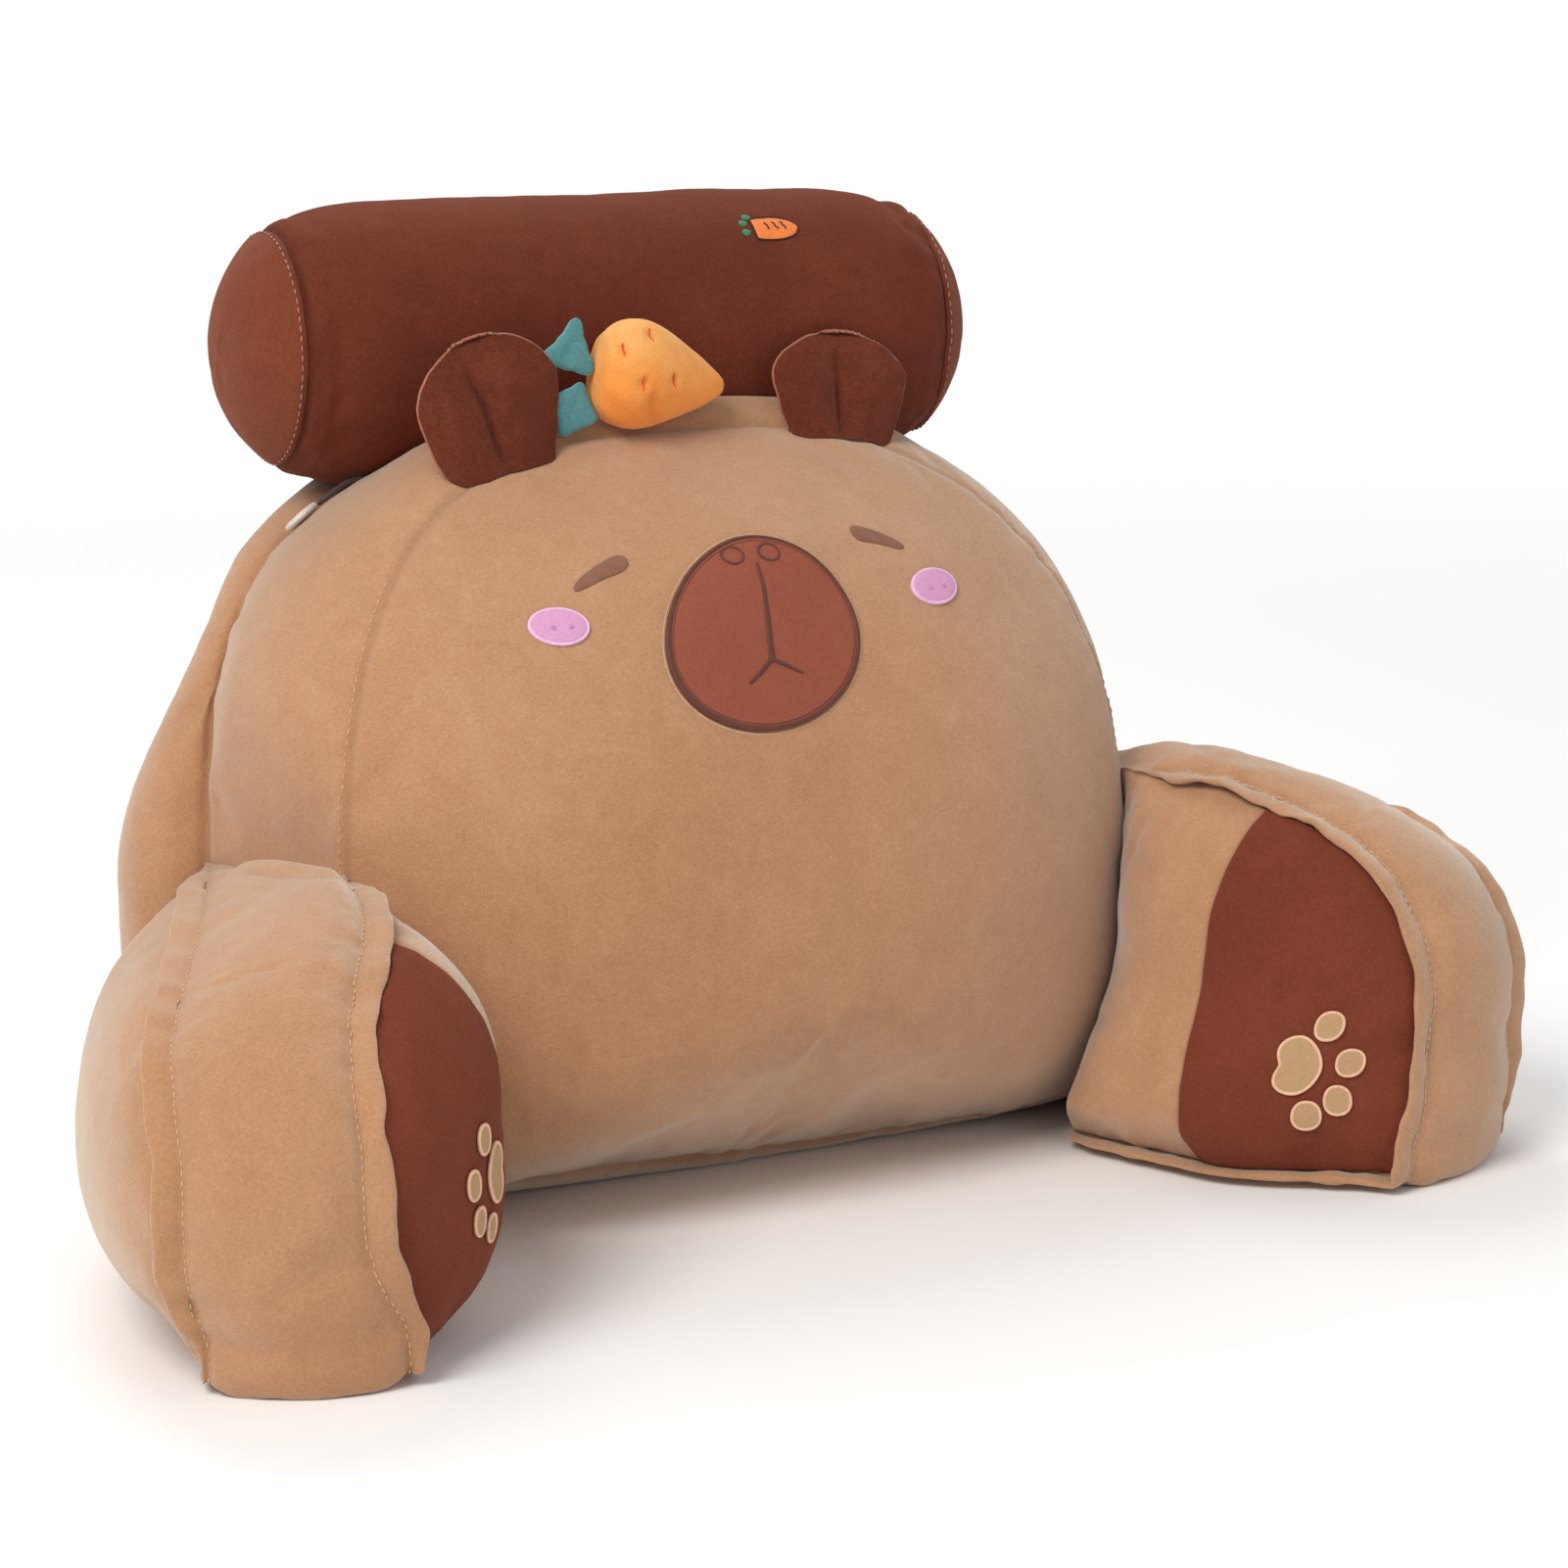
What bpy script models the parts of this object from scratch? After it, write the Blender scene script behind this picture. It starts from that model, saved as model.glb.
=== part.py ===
"""Reading pillow with arms: a stuffed back cushion with an animal's face, two stuffed arms, a bolster
buttoned on behind its top, two ears and a stuffed carrot.

Metres, +Z up. The face looks along -Y, X runs to the viewer's right. The pillow stands on Z = 0 with
the middle of its box over the origin. Below, depths are counted from the foot of the face panel's seam,
and each finished piece is then moved by the same distance to bring the box to the middle.
"""
import math

import bmesh
import bpy
from mathutils import Vector
from mathutils.bvhtree import BVHTree

DEPTH_TO_MIDDLE = 0.0087    # from the foot of the face panel's seam back to the middle of the box

# ---------------------------------------------------------------- back cushion
FACE_TOP = 0.352            # top of the face panel's seam
FACE_HALF_WIDTH = 0.208
WIDEST_Z = 0.106            # height at which the face panel is widest
SEAM_FOOT = 0.008           # the lower seams lie this high over the floor
DOME_POWER = 2.8            # roundness of the dome, 2 is an ellipse
FOOT_POWER = 9.0            # squareness of the lower corners
BACK_TOP = 0.334
BACK_HALF_WIDTH = 0.228
BACK_DOME_POWER = 3.2
BOXING_DEPTH = 0.108        # width of the strip between face panel and back panel
FORWARD_LEAN = 0.16         # the seam comes forward by this much for each metre of height
TOP_SET_BACK = 0.1135       # and its top goes back by this much
FOOT_BOW = 0.018            # the foot of the face panel is drawn back in the middle
FACE_CROWN = 0.066
FACE_CROWN_POWER = 2.5
BACK_CROWN = 0.086
BACK_TOP_CROWN = 0.045
BACK_CROWN_POWER = 2.6
BACK_SWELL = 0.031          # the back panel bulges past its own seam by this much
BACK_TOP_SWELL = 0.008
BACK_SWELL_DEPTH = 0.036    # and is widest this far behind the seam
BACK_TOP_SWELL_DEPTH = 0.016
BACK_ROLL = 0.76            # share of the radius outside which the panel rolls round to its seam
BACK_HIGH_FROM = 0.150      # between these heights the back panel thins to its top sizes
BACK_HIGH_TO = 0.275
BOXING_CROWN = 0.013
BOXING_TOP_CROWN = 0.022
BOXING_CROWN_POWER = 0.7
BOXING_RISE = 0.06          # height over the arms in which the strip comes to its crown
BOXING_TOP_SHARE = 0.8      # where the crown of the strip's top starts, as the sine of the angle
FOOT_CROWN = 0.020          # the underside bulges down this far before the floor flattens it
FOOT_SQUARE_Z = 0.026       # below this height the sides are taken as upright

# ---------------------------------------------------------------- arms
ARM_LENGTH = 0.190          # along the arm, from the face panel's seam to the band
ARM_HEIGHT = 0.186
ARM_ROOT_HEIGHT = 0.178
ARM_SPLAY = math.radians(18.0)
ARM_SEAM_FOOT = 0.006
ARM_BAND_WIDTH = 0.076      # seam to seam at the front of the arm
ARM_BAND_CROWN = 0.012
ARM_INNER_CROWN = 0.049
ARM_OUTER_CROWN = 0.058
ARM_OUTER_SHIFT = (0.56, 0.82)   # below 1, the outer panel bulges most behind and below its middle
ARM_CROWN_POWER = 2.4
ARM_CROWN_FULLNESS = 0.85   # below 1 the crown is fuller near its seams
ARM_BAND_CROWN_POWER = 0.6
BAND_ROWS = 6
ARM_NOSE_Z = 0.071          # height at which the arm reaches furthest forward
ARM_NOSE_POWER = 2.65       # roundness of the arm's upper front corner
ARM_CURVE_START = -0.047    # the round corner's centre, along the arm
ARM_TOE_IN = 0.005          # the foot of the arm's front is drawn back
ARM_CORNER_START = 0.42     # share of the front edge where its straight foot ends
ARM_ROOT_DIP = 0.45         # share of the top edge in which it rises from the root
ARM_OUTER_SCALE = (0.945, 0.955)   # the outer seam is shorter and lower than the inner one
ARM_LOWER_FROM = 0.3        # share of the arm's length in which the outer seam comes down
ARM_FOOT_SPREAD = {1: 0.045, -1: 0.019}   # the inner seam's foot lies this much nearer to the sitter
ARM_FOOT_SPREAD_TOP = 0.100  # and is back in its own plane at this height
SPREAD_START = 0.30         # shares of the arm's length: the spread is whole from here,
SPREAD_FADE = 0.55          # fades from here to the front,
SPREAD_FADE_BY = 0.75       # and has lost this share there
FLANGE_WIDTH = 0.011        # flat margin outside the topstitching of the arm's seams
FLANGE_THICKNESS = 0.0045
FLANGE_ROOT = 0.45          # the flange is whole this far round the rim from the root, at the top
FLANGE_FOOT = 0.25          # and at the foot
RIM_STEP = 0.04
PANEL_START_FOOT = 0.102    # where the brown part of the inner panel starts, along the arm
PANEL_START_BELLY = 0.088
PANEL_START_TOP = 0.095
PANEL_INSET = 0.0065        # the brown part's edge lies this far inside the arm's seam

# ---------------------------------------------------------------- bolster
BOLSTER_RADIUS = 0.067
BOLSTER_HALF_LENGTH = 0.163  # to the seam of the end cap
BOLSTER_SEAM_RADIUS = 0.056
BOLSTER_CAP_CROWN = 0.026
BOLSTER_CAP_POWER = 2.6
BOLSTER_CENTRE = (0.0025, 0.139, 0.389)
BOLSTER_YAW = math.radians(-5.0)
BOLSTER_DROOP = math.radians(1.2)   # its right end lies a little lower
BOLSTER_TAPER_START = 0.60   # share of the half length at which the tube starts to draw in
BOLSTER_TAPER_POWER = 2.5

# ---------------------------------------------------------------- small pieces
EAR_WIDTH = 0.068
EAR_HEIGHT = {1: 0.049, -1: 0.057}   # the right ear has sunk a little
EAR_THICKNESS = 0.013
EAR_X = {1: 0.087, -1: 0.091}
EAR_SET_FORWARD = 0.0045     # the ear's middle stands this far in front of the seam
EAR_TILT_OUT = math.radians(8.0)
EAR_TILT_BACK = {1: math.radians(13.0), -1: math.radians(8.0)}
EAR_BASE_SHARE = 0.86       # width of the ear's foot, as a share of its widest place
EAR_TOP_POWER = 3.4         # squareness of the ear's top
EAR_EDGE_POWER = 3.0        # fullness of its thickness across
EAR_RISE_POWER = 4          # and up
EAR_SEAT_GAP = 0.0014       # at the ear's points; the cushion's facets come nearer than this
CARROT_LENGTH = 0.072
CARROT_RADIUS = 0.0260
CARROT_FLATNESS = 0.72      # its depth from front to back, as a share of its height
CARROT_WIDEST = 0.34        # share of its length, from the blunt end
CARROT_BLUNTNESS = 2.4
CARROT_TAPER_POWER = 1.5
CARROT_TIP = 0.10           # radius kept at the tip, as a share of the widest
CARROT_X = -0.009
CARROT_Y = 0.0525
CARROT_DROOP = math.radians(11.0)   # the tip points down to the right
LEAF_THICKNESS = 0.0045
LEAF_EDGE_POWER = 3.0
LEAF_SCALLOP = 0.12
BUTTON_RADIUS = 0.0095
BUTTON_THICKNESS = 0.0035
BUTTON_ANGLE = math.radians(127.5)  # round the cushion, from the right
BUTTON_SHARE = 0.86         # from the face panel's seam to the back panel's seam
LOOP_RADIUS = 0.0012
LOOP_HALF_WIDTH = 0.0045
APPLIQUE_THICKNESS = 0.0014
PANEL_THICKNESS = 0.0016
NOSE_HALF_WIDTH = 0.0495
NOSE_HALF_HEIGHT = 0.0405
NOSE_X = -0.004
NOSE_Z = 0.2665
NOSE_EGG = 0.13             # the patch is narrower at its top by this share
CHEEK_X = 0.098
CHEEK_Z = 0.279
CHEEK_HALF_WIDTH = 0.0140
CHEEK_HALF_HEIGHT = 0.0078
PAD_ROUND_POWER = 2.2       # 2 is an ellipse
PAD_POINT_POWER = 1.75      # below 2 the front of the heart is pointed
PAD_NOTCH_POWER = 9         # narrowness of its notch

GAP = 0.0004                # between pieces that touch
ROOT_GAP = 0.0008           # between an arm and the cushion
LAID_GAP = 0.0008           # under a piece that is laid on crowned cloth
PANEL_GAP = 0.0017          # under the brown panels' points; the arm's ridges come nearer than this
BOLSTER_BED_GAP = 0.0024    # at the cushion's points; its flat facets come nearer than this
WELD = 0.00002
SHARP_ANGLE = math.radians(50.0)
PLUSH_ROUGHNESS = 0.9
BUTTON_ROUGHNESS = 0.55

# The pads of a paw print: middle and half sizes on the arm's side, in metres.
PAW_COLUMNS = ("name", "along", "z", "half_length", "half_height", "notch")
PAW_ROWS = (
    ("heel", 0.1400, 0.0617, 0.0108, 0.0138, 0.30),
    ("toe_1", 0.1505, 0.0800, 0.0060, 0.0070, 0.0),
    ("toe_2", 0.1605, 0.0630, 0.0052, 0.0070, 0.0),
    ("toe_3", 0.1590, 0.0440, 0.0052, 0.0070, 0.0),
    ("toe_4", 0.1480, 0.0365, 0.0056, 0.0066, 0.0),
)

# The carrot's leaves: middle and half sizes in metres, tilt in degrees, lobes round the edge.
LEAF_COLUMNS = ("name", "x", "z", "half_length", "half_width", "tilt", "lobes")
LEAF_ROWS = (
    ("leaf_upper", -0.0540, 0.3925, 0.0150, 0.0095, 116.0, 0),
    ("leaf_lower", -0.0537, 0.3652, 0.0096, 0.0086, 130.0, 3),
)

# The button's turned profile, from the middle of its seat out and round to the middle of its top.
BUTTON_COLUMNS = ("height", "radius")   # shares of its thickness and radius
BUTTON_ROWS = (
    (0.0, 0.0),
    (0.0, 0.72),
    (0.30, 0.95),
    (0.62, 1.0),
    (0.90, 0.84),
    (1.0, 0.55),
    (1.0, 0.0),
)

COLOURS = {
    "tan": (0.58, 0.36, 0.20),
    "dark_brown": (0.14, 0.045, 0.025),
    "nose_brown": (0.32, 0.10, 0.06),
    "ear_brown": (0.15, 0.045, 0.025),
    "panel_brown": (0.16, 0.055, 0.032),
    "beige": (0.60, 0.40, 0.25),
    "pink": (0.70, 0.36, 0.72),
    "orange": (0.87, 0.38, 0.10),
    "teal": (0.08, 0.26, 0.28),
    "button": (0.62, 0.56, 0.52),
    "loop": (0.10, 0.045, 0.03),
}


def smooth(low, high, value):
    """Rise gently from 0 at low to 1 at high."""
    share = min(1.0, max(0.0, (value - low) / (high - low)))
    return share * share * (3.0 - 2.0 * share)


def material(name, roughness=PLUSH_ROUGHNESS):
    made = bpy.data.materials.get(name)
    if made is None:
        made = bpy.data.materials.new(name)
        made.use_nodes = True
        shader = made.node_tree.nodes["Principled BSDF"]
        shader.inputs["Base Color"].default_value = (*COLOURS[name], 1.0)
        shader.inputs["Roughness"].default_value = roughness
        shader.inputs["Metallic"].default_value = 0.0
    return made


def add_patch(mesh, point, columns, rows):
    """Add a grid of faces; point(a, b) gives its places for a and b from 0 to 1."""
    grid = []
    for row in range(rows + 1):
        line = []
        for column in range(columns + 1):
            line.append(mesh.verts.new(point(column / columns, row / rows)))
        grid.append(line)
    for row in range(rows):
        for column in range(columns):
            corners = (grid[row][column], grid[row][column + 1],
                       grid[row + 1][column + 1], grid[row + 1][column])
            mesh.faces.new(corners)


def place_object(name, data):
    made = bpy.data.objects.new(name, data)
    made.location.y = -DEPTH_TO_MIDDLE
    bpy.context.scene.collection.objects.link(made)
    return made


def finish_object(name, mesh, material_name, roughness=PLUSH_ROUGHNESS):
    """Weld the patches of a piece into one closed body and place it in the scene."""
    bmesh.ops.remove_doubles(mesh, verts=mesh.verts, dist=WELD)
    bmesh.ops.recalc_face_normals(mesh, faces=mesh.faces)
    if mesh.calc_volume(signed=True) < 0.0:
        bmesh.ops.reverse_faces(mesh, faces=mesh.faces)
    data = bpy.data.meshes.new(name)
    mesh.to_mesh(data)
    mesh.free()
    data.shade_smooth()
    data.set_sharp_from_angle(angle=SHARP_ANGLE)
    data.materials.append(material(material_name, roughness))
    return place_object(name, data)


# ---------------------------------------------------------------- the back cushion's surfaces
def outline_radius(angle, half_width, top, power):
    """Distance from the panel's centre to its seam, in a direction."""
    across = abs(math.cos(angle)) / half_width
    if math.sin(angle) >= 0.0:
        up = math.sin(angle) / (top - WIDEST_Z)
        return (across ** power + up ** power) ** (-1.0 / power)
    down = -math.sin(angle) / (WIDEST_Z - SEAM_FOOT)
    return (across ** FOOT_POWER + down ** FOOT_POWER) ** (-1.0 / FOOT_POWER)


def outline_half_width(z, half_width, top, power):
    """Half the width of a panel at a height, square below the rounding of its foot."""
    if z >= WIDEST_Z:
        share = (z - WIDEST_Z) / (top - WIDEST_Z)
    else:
        share = (WIDEST_Z - max(z, FOOT_SQUARE_Z)) / (WIDEST_Z - SEAM_FOOT)
        power = FOOT_POWER
    return half_width * max(0.0, 1.0 - share ** power) ** (1.0 / power)


def seam_y(x, z):
    """How far back the face panel's seam lies."""
    lean = -FORWARD_LEAN * z + TOP_SET_BACK * (z / FACE_TOP) ** 3
    bow = FOOT_BOW * (1.0 - (x / FACE_HALF_WIDTH) ** 2) * (1.0 - smooth(0.0, WIDEST_Z, z))
    return lean + bow


def face_place(x, z):
    """Depth of the face panel's surface at a place across and up."""
    angle = math.atan2(z - WIDEST_Z, x)
    reach = outline_radius(angle, FACE_HALF_WIDTH, FACE_TOP, DOME_POWER)
    share = min(1.0, math.hypot(x, z - WIDEST_Z) / reach)
    return seam_y(x, z) - FACE_CROWN * (1.0 - share ** FACE_CROWN_POWER)


def square_to_round(a, b):
    """Turn a place in a square into a share of the radius and an angle."""
    across = 2.0 * a - 1.0
    up = 2.0 * b - 1.0
    if across == 0.0 and up == 0.0:
        return 0.0, 0.0
    if abs(across) >= abs(up):
        turn = math.pi / 4.0 * up / across
        return abs(across), turn if across > 0.0 else turn + math.pi
    turn = math.pi / 2.0 - math.pi / 4.0 * across / up
    return abs(up), turn if up > 0.0 else turn + math.pi


def face_point(a, b):
    share, angle = square_to_round(a, b)
    reach = share * outline_radius(angle, FACE_HALF_WIDTH, FACE_TOP, DOME_POWER)
    x = reach * math.cos(angle)
    z = WIDEST_Z + reach * math.sin(angle)
    y = seam_y(x, z) - FACE_CROWN * (1.0 - share ** FACE_CROWN_POWER)
    return pressed(Vector((x, y, z)))


def back_point(a, b):
    """The back panel: a roll from its seam out to its widest line, then the crown."""
    share, angle = square_to_round(a, b)
    seam = outline_radius(angle, BACK_HALF_WIDTH, BACK_TOP, BACK_DOME_POWER)
    high = smooth(BACK_HIGH_FROM, BACK_HIGH_TO, WIDEST_Z + seam * math.sin(angle))
    swell = BACK_SWELL + (BACK_TOP_SWELL - BACK_SWELL) * high
    swell_depth = BACK_SWELL_DEPTH + (BACK_TOP_SWELL_DEPTH - BACK_SWELL_DEPTH) * high
    crown = BACK_CROWN + (BACK_TOP_CROWN - BACK_CROWN) * high
    if share > BACK_ROLL:
        turn = 0.5 * math.pi * (1.0 - share) / (1.0 - BACK_ROLL)
        reach = seam + swell * math.sin(turn)
        depth = swell_depth * (1.0 - math.cos(turn))
    else:
        turn = 0.5 * math.pi * (1.0 - share / BACK_ROLL)
        power = 2.0 / BACK_CROWN_POWER
        reach = (seam + swell) * max(0.0, math.cos(turn)) ** power
        depth = swell_depth + (crown - swell_depth) * math.sin(turn) ** power
    x = reach * math.cos(angle)
    z = WIDEST_Z + reach * math.sin(angle)
    seam_z = max(0.0, min(z, BACK_TOP))
    y = seam_y(x, seam_z) + BOXING_DEPTH + depth
    return pressed(Vector((x, y, z)))


def boxing_point(a, b):
    """Strip round the cushion: a goes round, b from the face seam to the back seam."""
    angle = -math.pi / 4.0 + 2.0 * math.pi * a
    front = outline_radius(angle, FACE_HALF_WIDTH, FACE_TOP, DOME_POWER)
    back = outline_radius(angle, BACK_HALF_WIDTH, BACK_TOP, BACK_DOME_POWER)
    reach = front + (back - front) * b
    x = reach * math.cos(angle)
    z = WIDEST_Z + reach * math.sin(angle)
    front_z = WIDEST_Z + front * math.sin(angle)
    back_z = WIDEST_Z + back * math.sin(angle)
    front_y = seam_y(front * math.cos(angle), front_z)
    back_y = seam_y(back * math.cos(angle), back_z) + BOXING_DEPTH
    y = front_y + (back_y - front_y) * b
    if math.sin(angle) < 0.0:
        crown = FOOT_CROWN * (1.0 - smooth(SEAM_FOOT, FOOT_SQUARE_Z, front_z))
    else:
        crown = BOXING_CROWN * smooth(ARM_HEIGHT, ARM_HEIGHT + BOXING_RISE, z)
        crown += (BOXING_TOP_CROWN - BOXING_CROWN) * smooth(BOXING_TOP_SHARE, 1.0, math.sin(angle))
    swell = crown * math.sin(math.pi * b) ** BOXING_CROWN_POWER if 0.0 < b < 1.0 else 0.0
    x += swell * math.cos(angle)
    z += swell * math.sin(angle)
    return pressed(Vector((x, y, z)))


def pressed(place):
    """Flatten the cushion on the floor and hollow it under the bolster."""
    place.z = max(place.z, 0.0)
    centre = Vector(BOLSTER_CENTRE)
    axis = bolster_axis()
    along = (place - centre).dot(axis)
    away = place - centre - axis * along
    if abs(along) < BOLSTER_HALF_LENGTH + BOLSTER_CAP_CROWN:
        keep = bolster_radius(along) + BOLSTER_BED_GAP
        if away.length < keep:
            place = centre + axis * along + away.normalized() * keep
    return place


def build_back_cushion(divisions=14, boxing_rows=6):
    mesh = bmesh.new()
    add_patch(mesh, face_point, divisions, divisions)
    add_patch(mesh, back_point, divisions, divisions)
    add_patch(mesh, boxing_point, 4 * divisions, boxing_rows)
    return finish_object("back_cushion", mesh, "tan")


# ---------------------------------------------------------------- bolster
def bolster_axis():
    level = math.cos(BOLSTER_DROOP)
    return Vector((level * math.cos(BOLSTER_YAW), level * math.sin(BOLSTER_YAW), -math.sin(BOLSTER_DROOP)))


def bolster_radius(along):
    """Radius of the bolster's tube, drawn in towards the seams of its ends."""
    share = min(1.0, abs(along) / BOLSTER_HALF_LENGTH)
    draw = max(0.0, (share - BOLSTER_TAPER_START) / (1.0 - BOLSTER_TAPER_START))
    return BOLSTER_RADIUS - (BOLSTER_RADIUS - BOLSTER_SEAM_RADIUS) * draw ** BOLSTER_TAPER_POWER


def build_bolster(sides=32, tube_rows=13, cap_rows=4):
    """Turn the bolster's profile about its axis."""
    profile = []
    for row in range(cap_rows + 1):
        radius = BOLSTER_SEAM_RADIUS * math.sin(math.pi / 2.0 * row / cap_rows)
        crown = BOLSTER_CAP_CROWN * (1.0 - (radius / BOLSTER_SEAM_RADIUS) ** BOLSTER_CAP_POWER)
        profile.append((-BOLSTER_HALF_LENGTH - crown, radius))
    for row in range(1, tube_rows):
        along = BOLSTER_HALF_LENGTH * (2.0 * row / tube_rows - 1.0)
        profile.append((along, bolster_radius(along)))
    for along, radius in reversed(profile[:cap_rows + 1]):
        profile.append((-along, radius))
    centre = Vector(BOLSTER_CENTRE)
    axis = bolster_axis()
    across = Vector((-math.sin(BOLSTER_YAW), math.cos(BOLSTER_YAW), 0.0))
    up = axis.cross(across)

    def point(a, b):
        along, radius = profile[round(b * (len(profile) - 1))]
        turn = 2.0 * math.pi * (a % 1.0)
        return centre + axis * along + (across * math.cos(turn) + up * math.sin(turn)) * radius

    mesh = bmesh.new()
    add_patch(mesh, point, sides, len(profile) - 1)
    bmesh.ops.remove_doubles(mesh, verts=mesh.verts, dist=WELD)
    return finish_object("bolster", mesh, "dark_brown")


# ---------------------------------------------------------------- arms
def arm_corner(turn):
    """The arm's round upper front corner: turn goes from the top to the front."""
    reach = ARM_LENGTH - ARM_CURVE_START
    rise = ARM_HEIGHT - ARM_NOSE_Z
    power = 2.0 / ARM_NOSE_POWER
    along = ARM_CURVE_START + reach * math.sin(turn) ** power
    return along, ARM_NOSE_Z + rise * math.cos(turn) ** power


TURN_AT_ROOT = math.asin((-ARM_CURVE_START / (ARM_LENGTH - ARM_CURVE_START)) ** (ARM_NOSE_POWER / 2.0))
TURN_AT_CORNER = math.pi / 4.0


def arm_top(share):
    turn = TURN_AT_ROOT + (TURN_AT_CORNER - TURN_AT_ROOT) * share
    along, z = arm_corner(turn)
    dip = (ARM_HEIGHT - ARM_ROOT_HEIGHT) * (1.0 - smooth(0.0, ARM_ROOT_DIP, share))
    return along if share > 0.0 else 0.0, z - dip


def arm_front(share):
    """The arm's front edge, from its foot up to the round corner."""
    if share < ARM_CORNER_START:
        part = share / ARM_CORNER_START
        z = ARM_SEAM_FOOT + (ARM_NOSE_Z - ARM_SEAM_FOOT) * part
        return ARM_LENGTH - ARM_TOE_IN * (1.0 - part) ** 2, z
    part = (share - ARM_CORNER_START) / (1.0 - ARM_CORNER_START)
    return arm_corner(math.pi / 2.0 + (TURN_AT_CORNER - math.pi / 2.0) * part)


def arm_plan(a, b):
    """A place on the arm's side panels: a from root to front, b from foot to top."""
    foot_front = arm_front(0.0)[0]
    root_top = arm_top(0.0)[1]
    corner = arm_front(1.0)
    foot = (foot_front * a, ARM_SEAM_FOOT)
    root = (0.0, ARM_SEAM_FOOT + (root_top - ARM_SEAM_FOOT) * b)
    top = arm_top(a)
    front = arm_front(b)
    place = []
    corners = ((0.0, foot_front, 0.0, corner[0]), (ARM_SEAM_FOOT, ARM_SEAM_FOOT, root_top, corner[1]))
    for axis in (0, 1):
        low_root, low_front, high_root, high_front = corners[axis]
        flat = ((1.0 - a) * (1.0 - b) * low_root + a * (1.0 - b) * low_front
                + (1.0 - a) * b * high_root + a * b * high_front)
        place.append((1.0 - b) * foot[axis] + b * top[axis]
                     + (1.0 - a) * root[axis] + a * front[axis] - flat)
    return place[0], place[1]


ARM_ALONG = Vector((math.sin(ARM_SPLAY), -math.cos(ARM_SPLAY), 0.0))
ARM_ACROSS = Vector((math.cos(ARM_SPLAY), math.sin(ARM_SPLAY), 0.0))


def arm_root(z, outer):
    """Where the arm's inner or outer seam meets the back cushion."""
    half_width = FACE_HALF_WIDTH
    top = FACE_TOP
    power = DOME_POWER
    depth = 0.0
    if outer:
        half_width = BACK_HALF_WIDTH
        top = BACK_TOP
        power = BACK_DOME_POWER
        depth = BOXING_DEPTH
    x = outline_half_width(z, half_width, top, power)
    return Vector((x + ROOT_GAP, seam_y(x, z) + depth, z))


def arm_seam(along, z, outer, side):
    """A place on the inner or outer seam's sheet, for the right-hand arm."""
    share = smooth(0.0, ARM_LENGTH, along)
    if not outer:
        spread = ARM_FOOT_SPREAD[side] * (1.0 - smooth(0.0, ARM_FOOT_SPREAD_TOP, z))
        part = along / ARM_LENGTH
        spread *= smooth(0.0, SPREAD_START, part) * (1.0 - SPREAD_FADE_BY * smooth(SPREAD_FADE, 1.0, part))
        return arm_root(z, False) + ARM_ALONG * along - ARM_ACROSS * spread
    length_scale, height_scale = ARM_OUTER_SCALE
    z *= 1.0 + (height_scale - 1.0) * smooth(0.0, ARM_LOWER_FROM, share)
    along *= 1.0 + (length_scale - 1.0) * share
    width = (arm_root(z, True) - arm_root(z, False)).lerp(ARM_ACROSS * ARM_BAND_WIDTH, share)
    return arm_root(z, False) + ARM_ALONG * along + width


def arm_swell(a, b):
    """How far a place on a side panel bulges, as a share of the panel's crown."""
    across = 1.0 - abs(2.0 * a - 1.0) ** ARM_CROWN_POWER
    up = 1.0 - abs(2.0 * b - 1.0) ** ARM_CROWN_POWER
    return (across * up) ** ARM_CROWN_FULLNESS


def arm_inner(a, b, side):
    """The inner panel, which faces the sitter."""
    along, z = arm_plan(a, b)
    return arm_seam(along, z, False, side) - ARM_ACROSS * ARM_INNER_CROWN * arm_swell(a, b)


def arm_outer(a, b, side):
    along, z = arm_plan(a, b)
    swell = arm_swell(a ** ARM_OUTER_SHIFT[0], b ** ARM_OUTER_SHIFT[1])
    return arm_seam(along, z, True, side) + ARM_ACROSS * ARM_OUTER_CROWN * swell


def rim_plan(turn):
    """The side panel's edge: turn goes 0 to 1 over the top, 2 down the front, 3 back along the foot."""
    if turn <= 1.0:
        return arm_top(turn)
    if turn <= 2.0:
        return arm_front(2.0 - turn)
    return arm_front(0.0)[0] * (3.0 - turn), ARM_SEAM_FOOT


def rim_outward(turn):
    """Direction away from the panel's edge, in the plane of the arm's side."""
    before = rim_plan(max(0.0, turn - RIM_STEP))
    after = rim_plan(min(3.0, turn + RIM_STEP))
    along = after[0] - before[0]
    rise = after[1] - before[1]
    size = math.hypot(along, rise)
    return ARM_ALONG * (-rise / size) + Vector((0.0, 0.0, along / size))


def band_section():
    """Rows across the band: share of the width, lift of the crown, reach of the flange."""
    half = 0.5 * FLANGE_THICKNESS
    rows = [(0.0, 0.0, 0.0), (0.0, -half, -FLANGE_WIDTH), (0.0, half, -FLANGE_WIDTH)]
    for row in range(1, BAND_ROWS):
        share = row / BAND_ROWS
        rows.append((share, ARM_BAND_CROWN * math.sin(math.pi * share) ** ARM_BAND_CROWN_POWER, 0.0))
    rows += [(1.0, half, FLANGE_WIDTH), (1.0, -half, FLANGE_WIDTH), (1.0, 0.0, 0.0)]
    return rows


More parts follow.
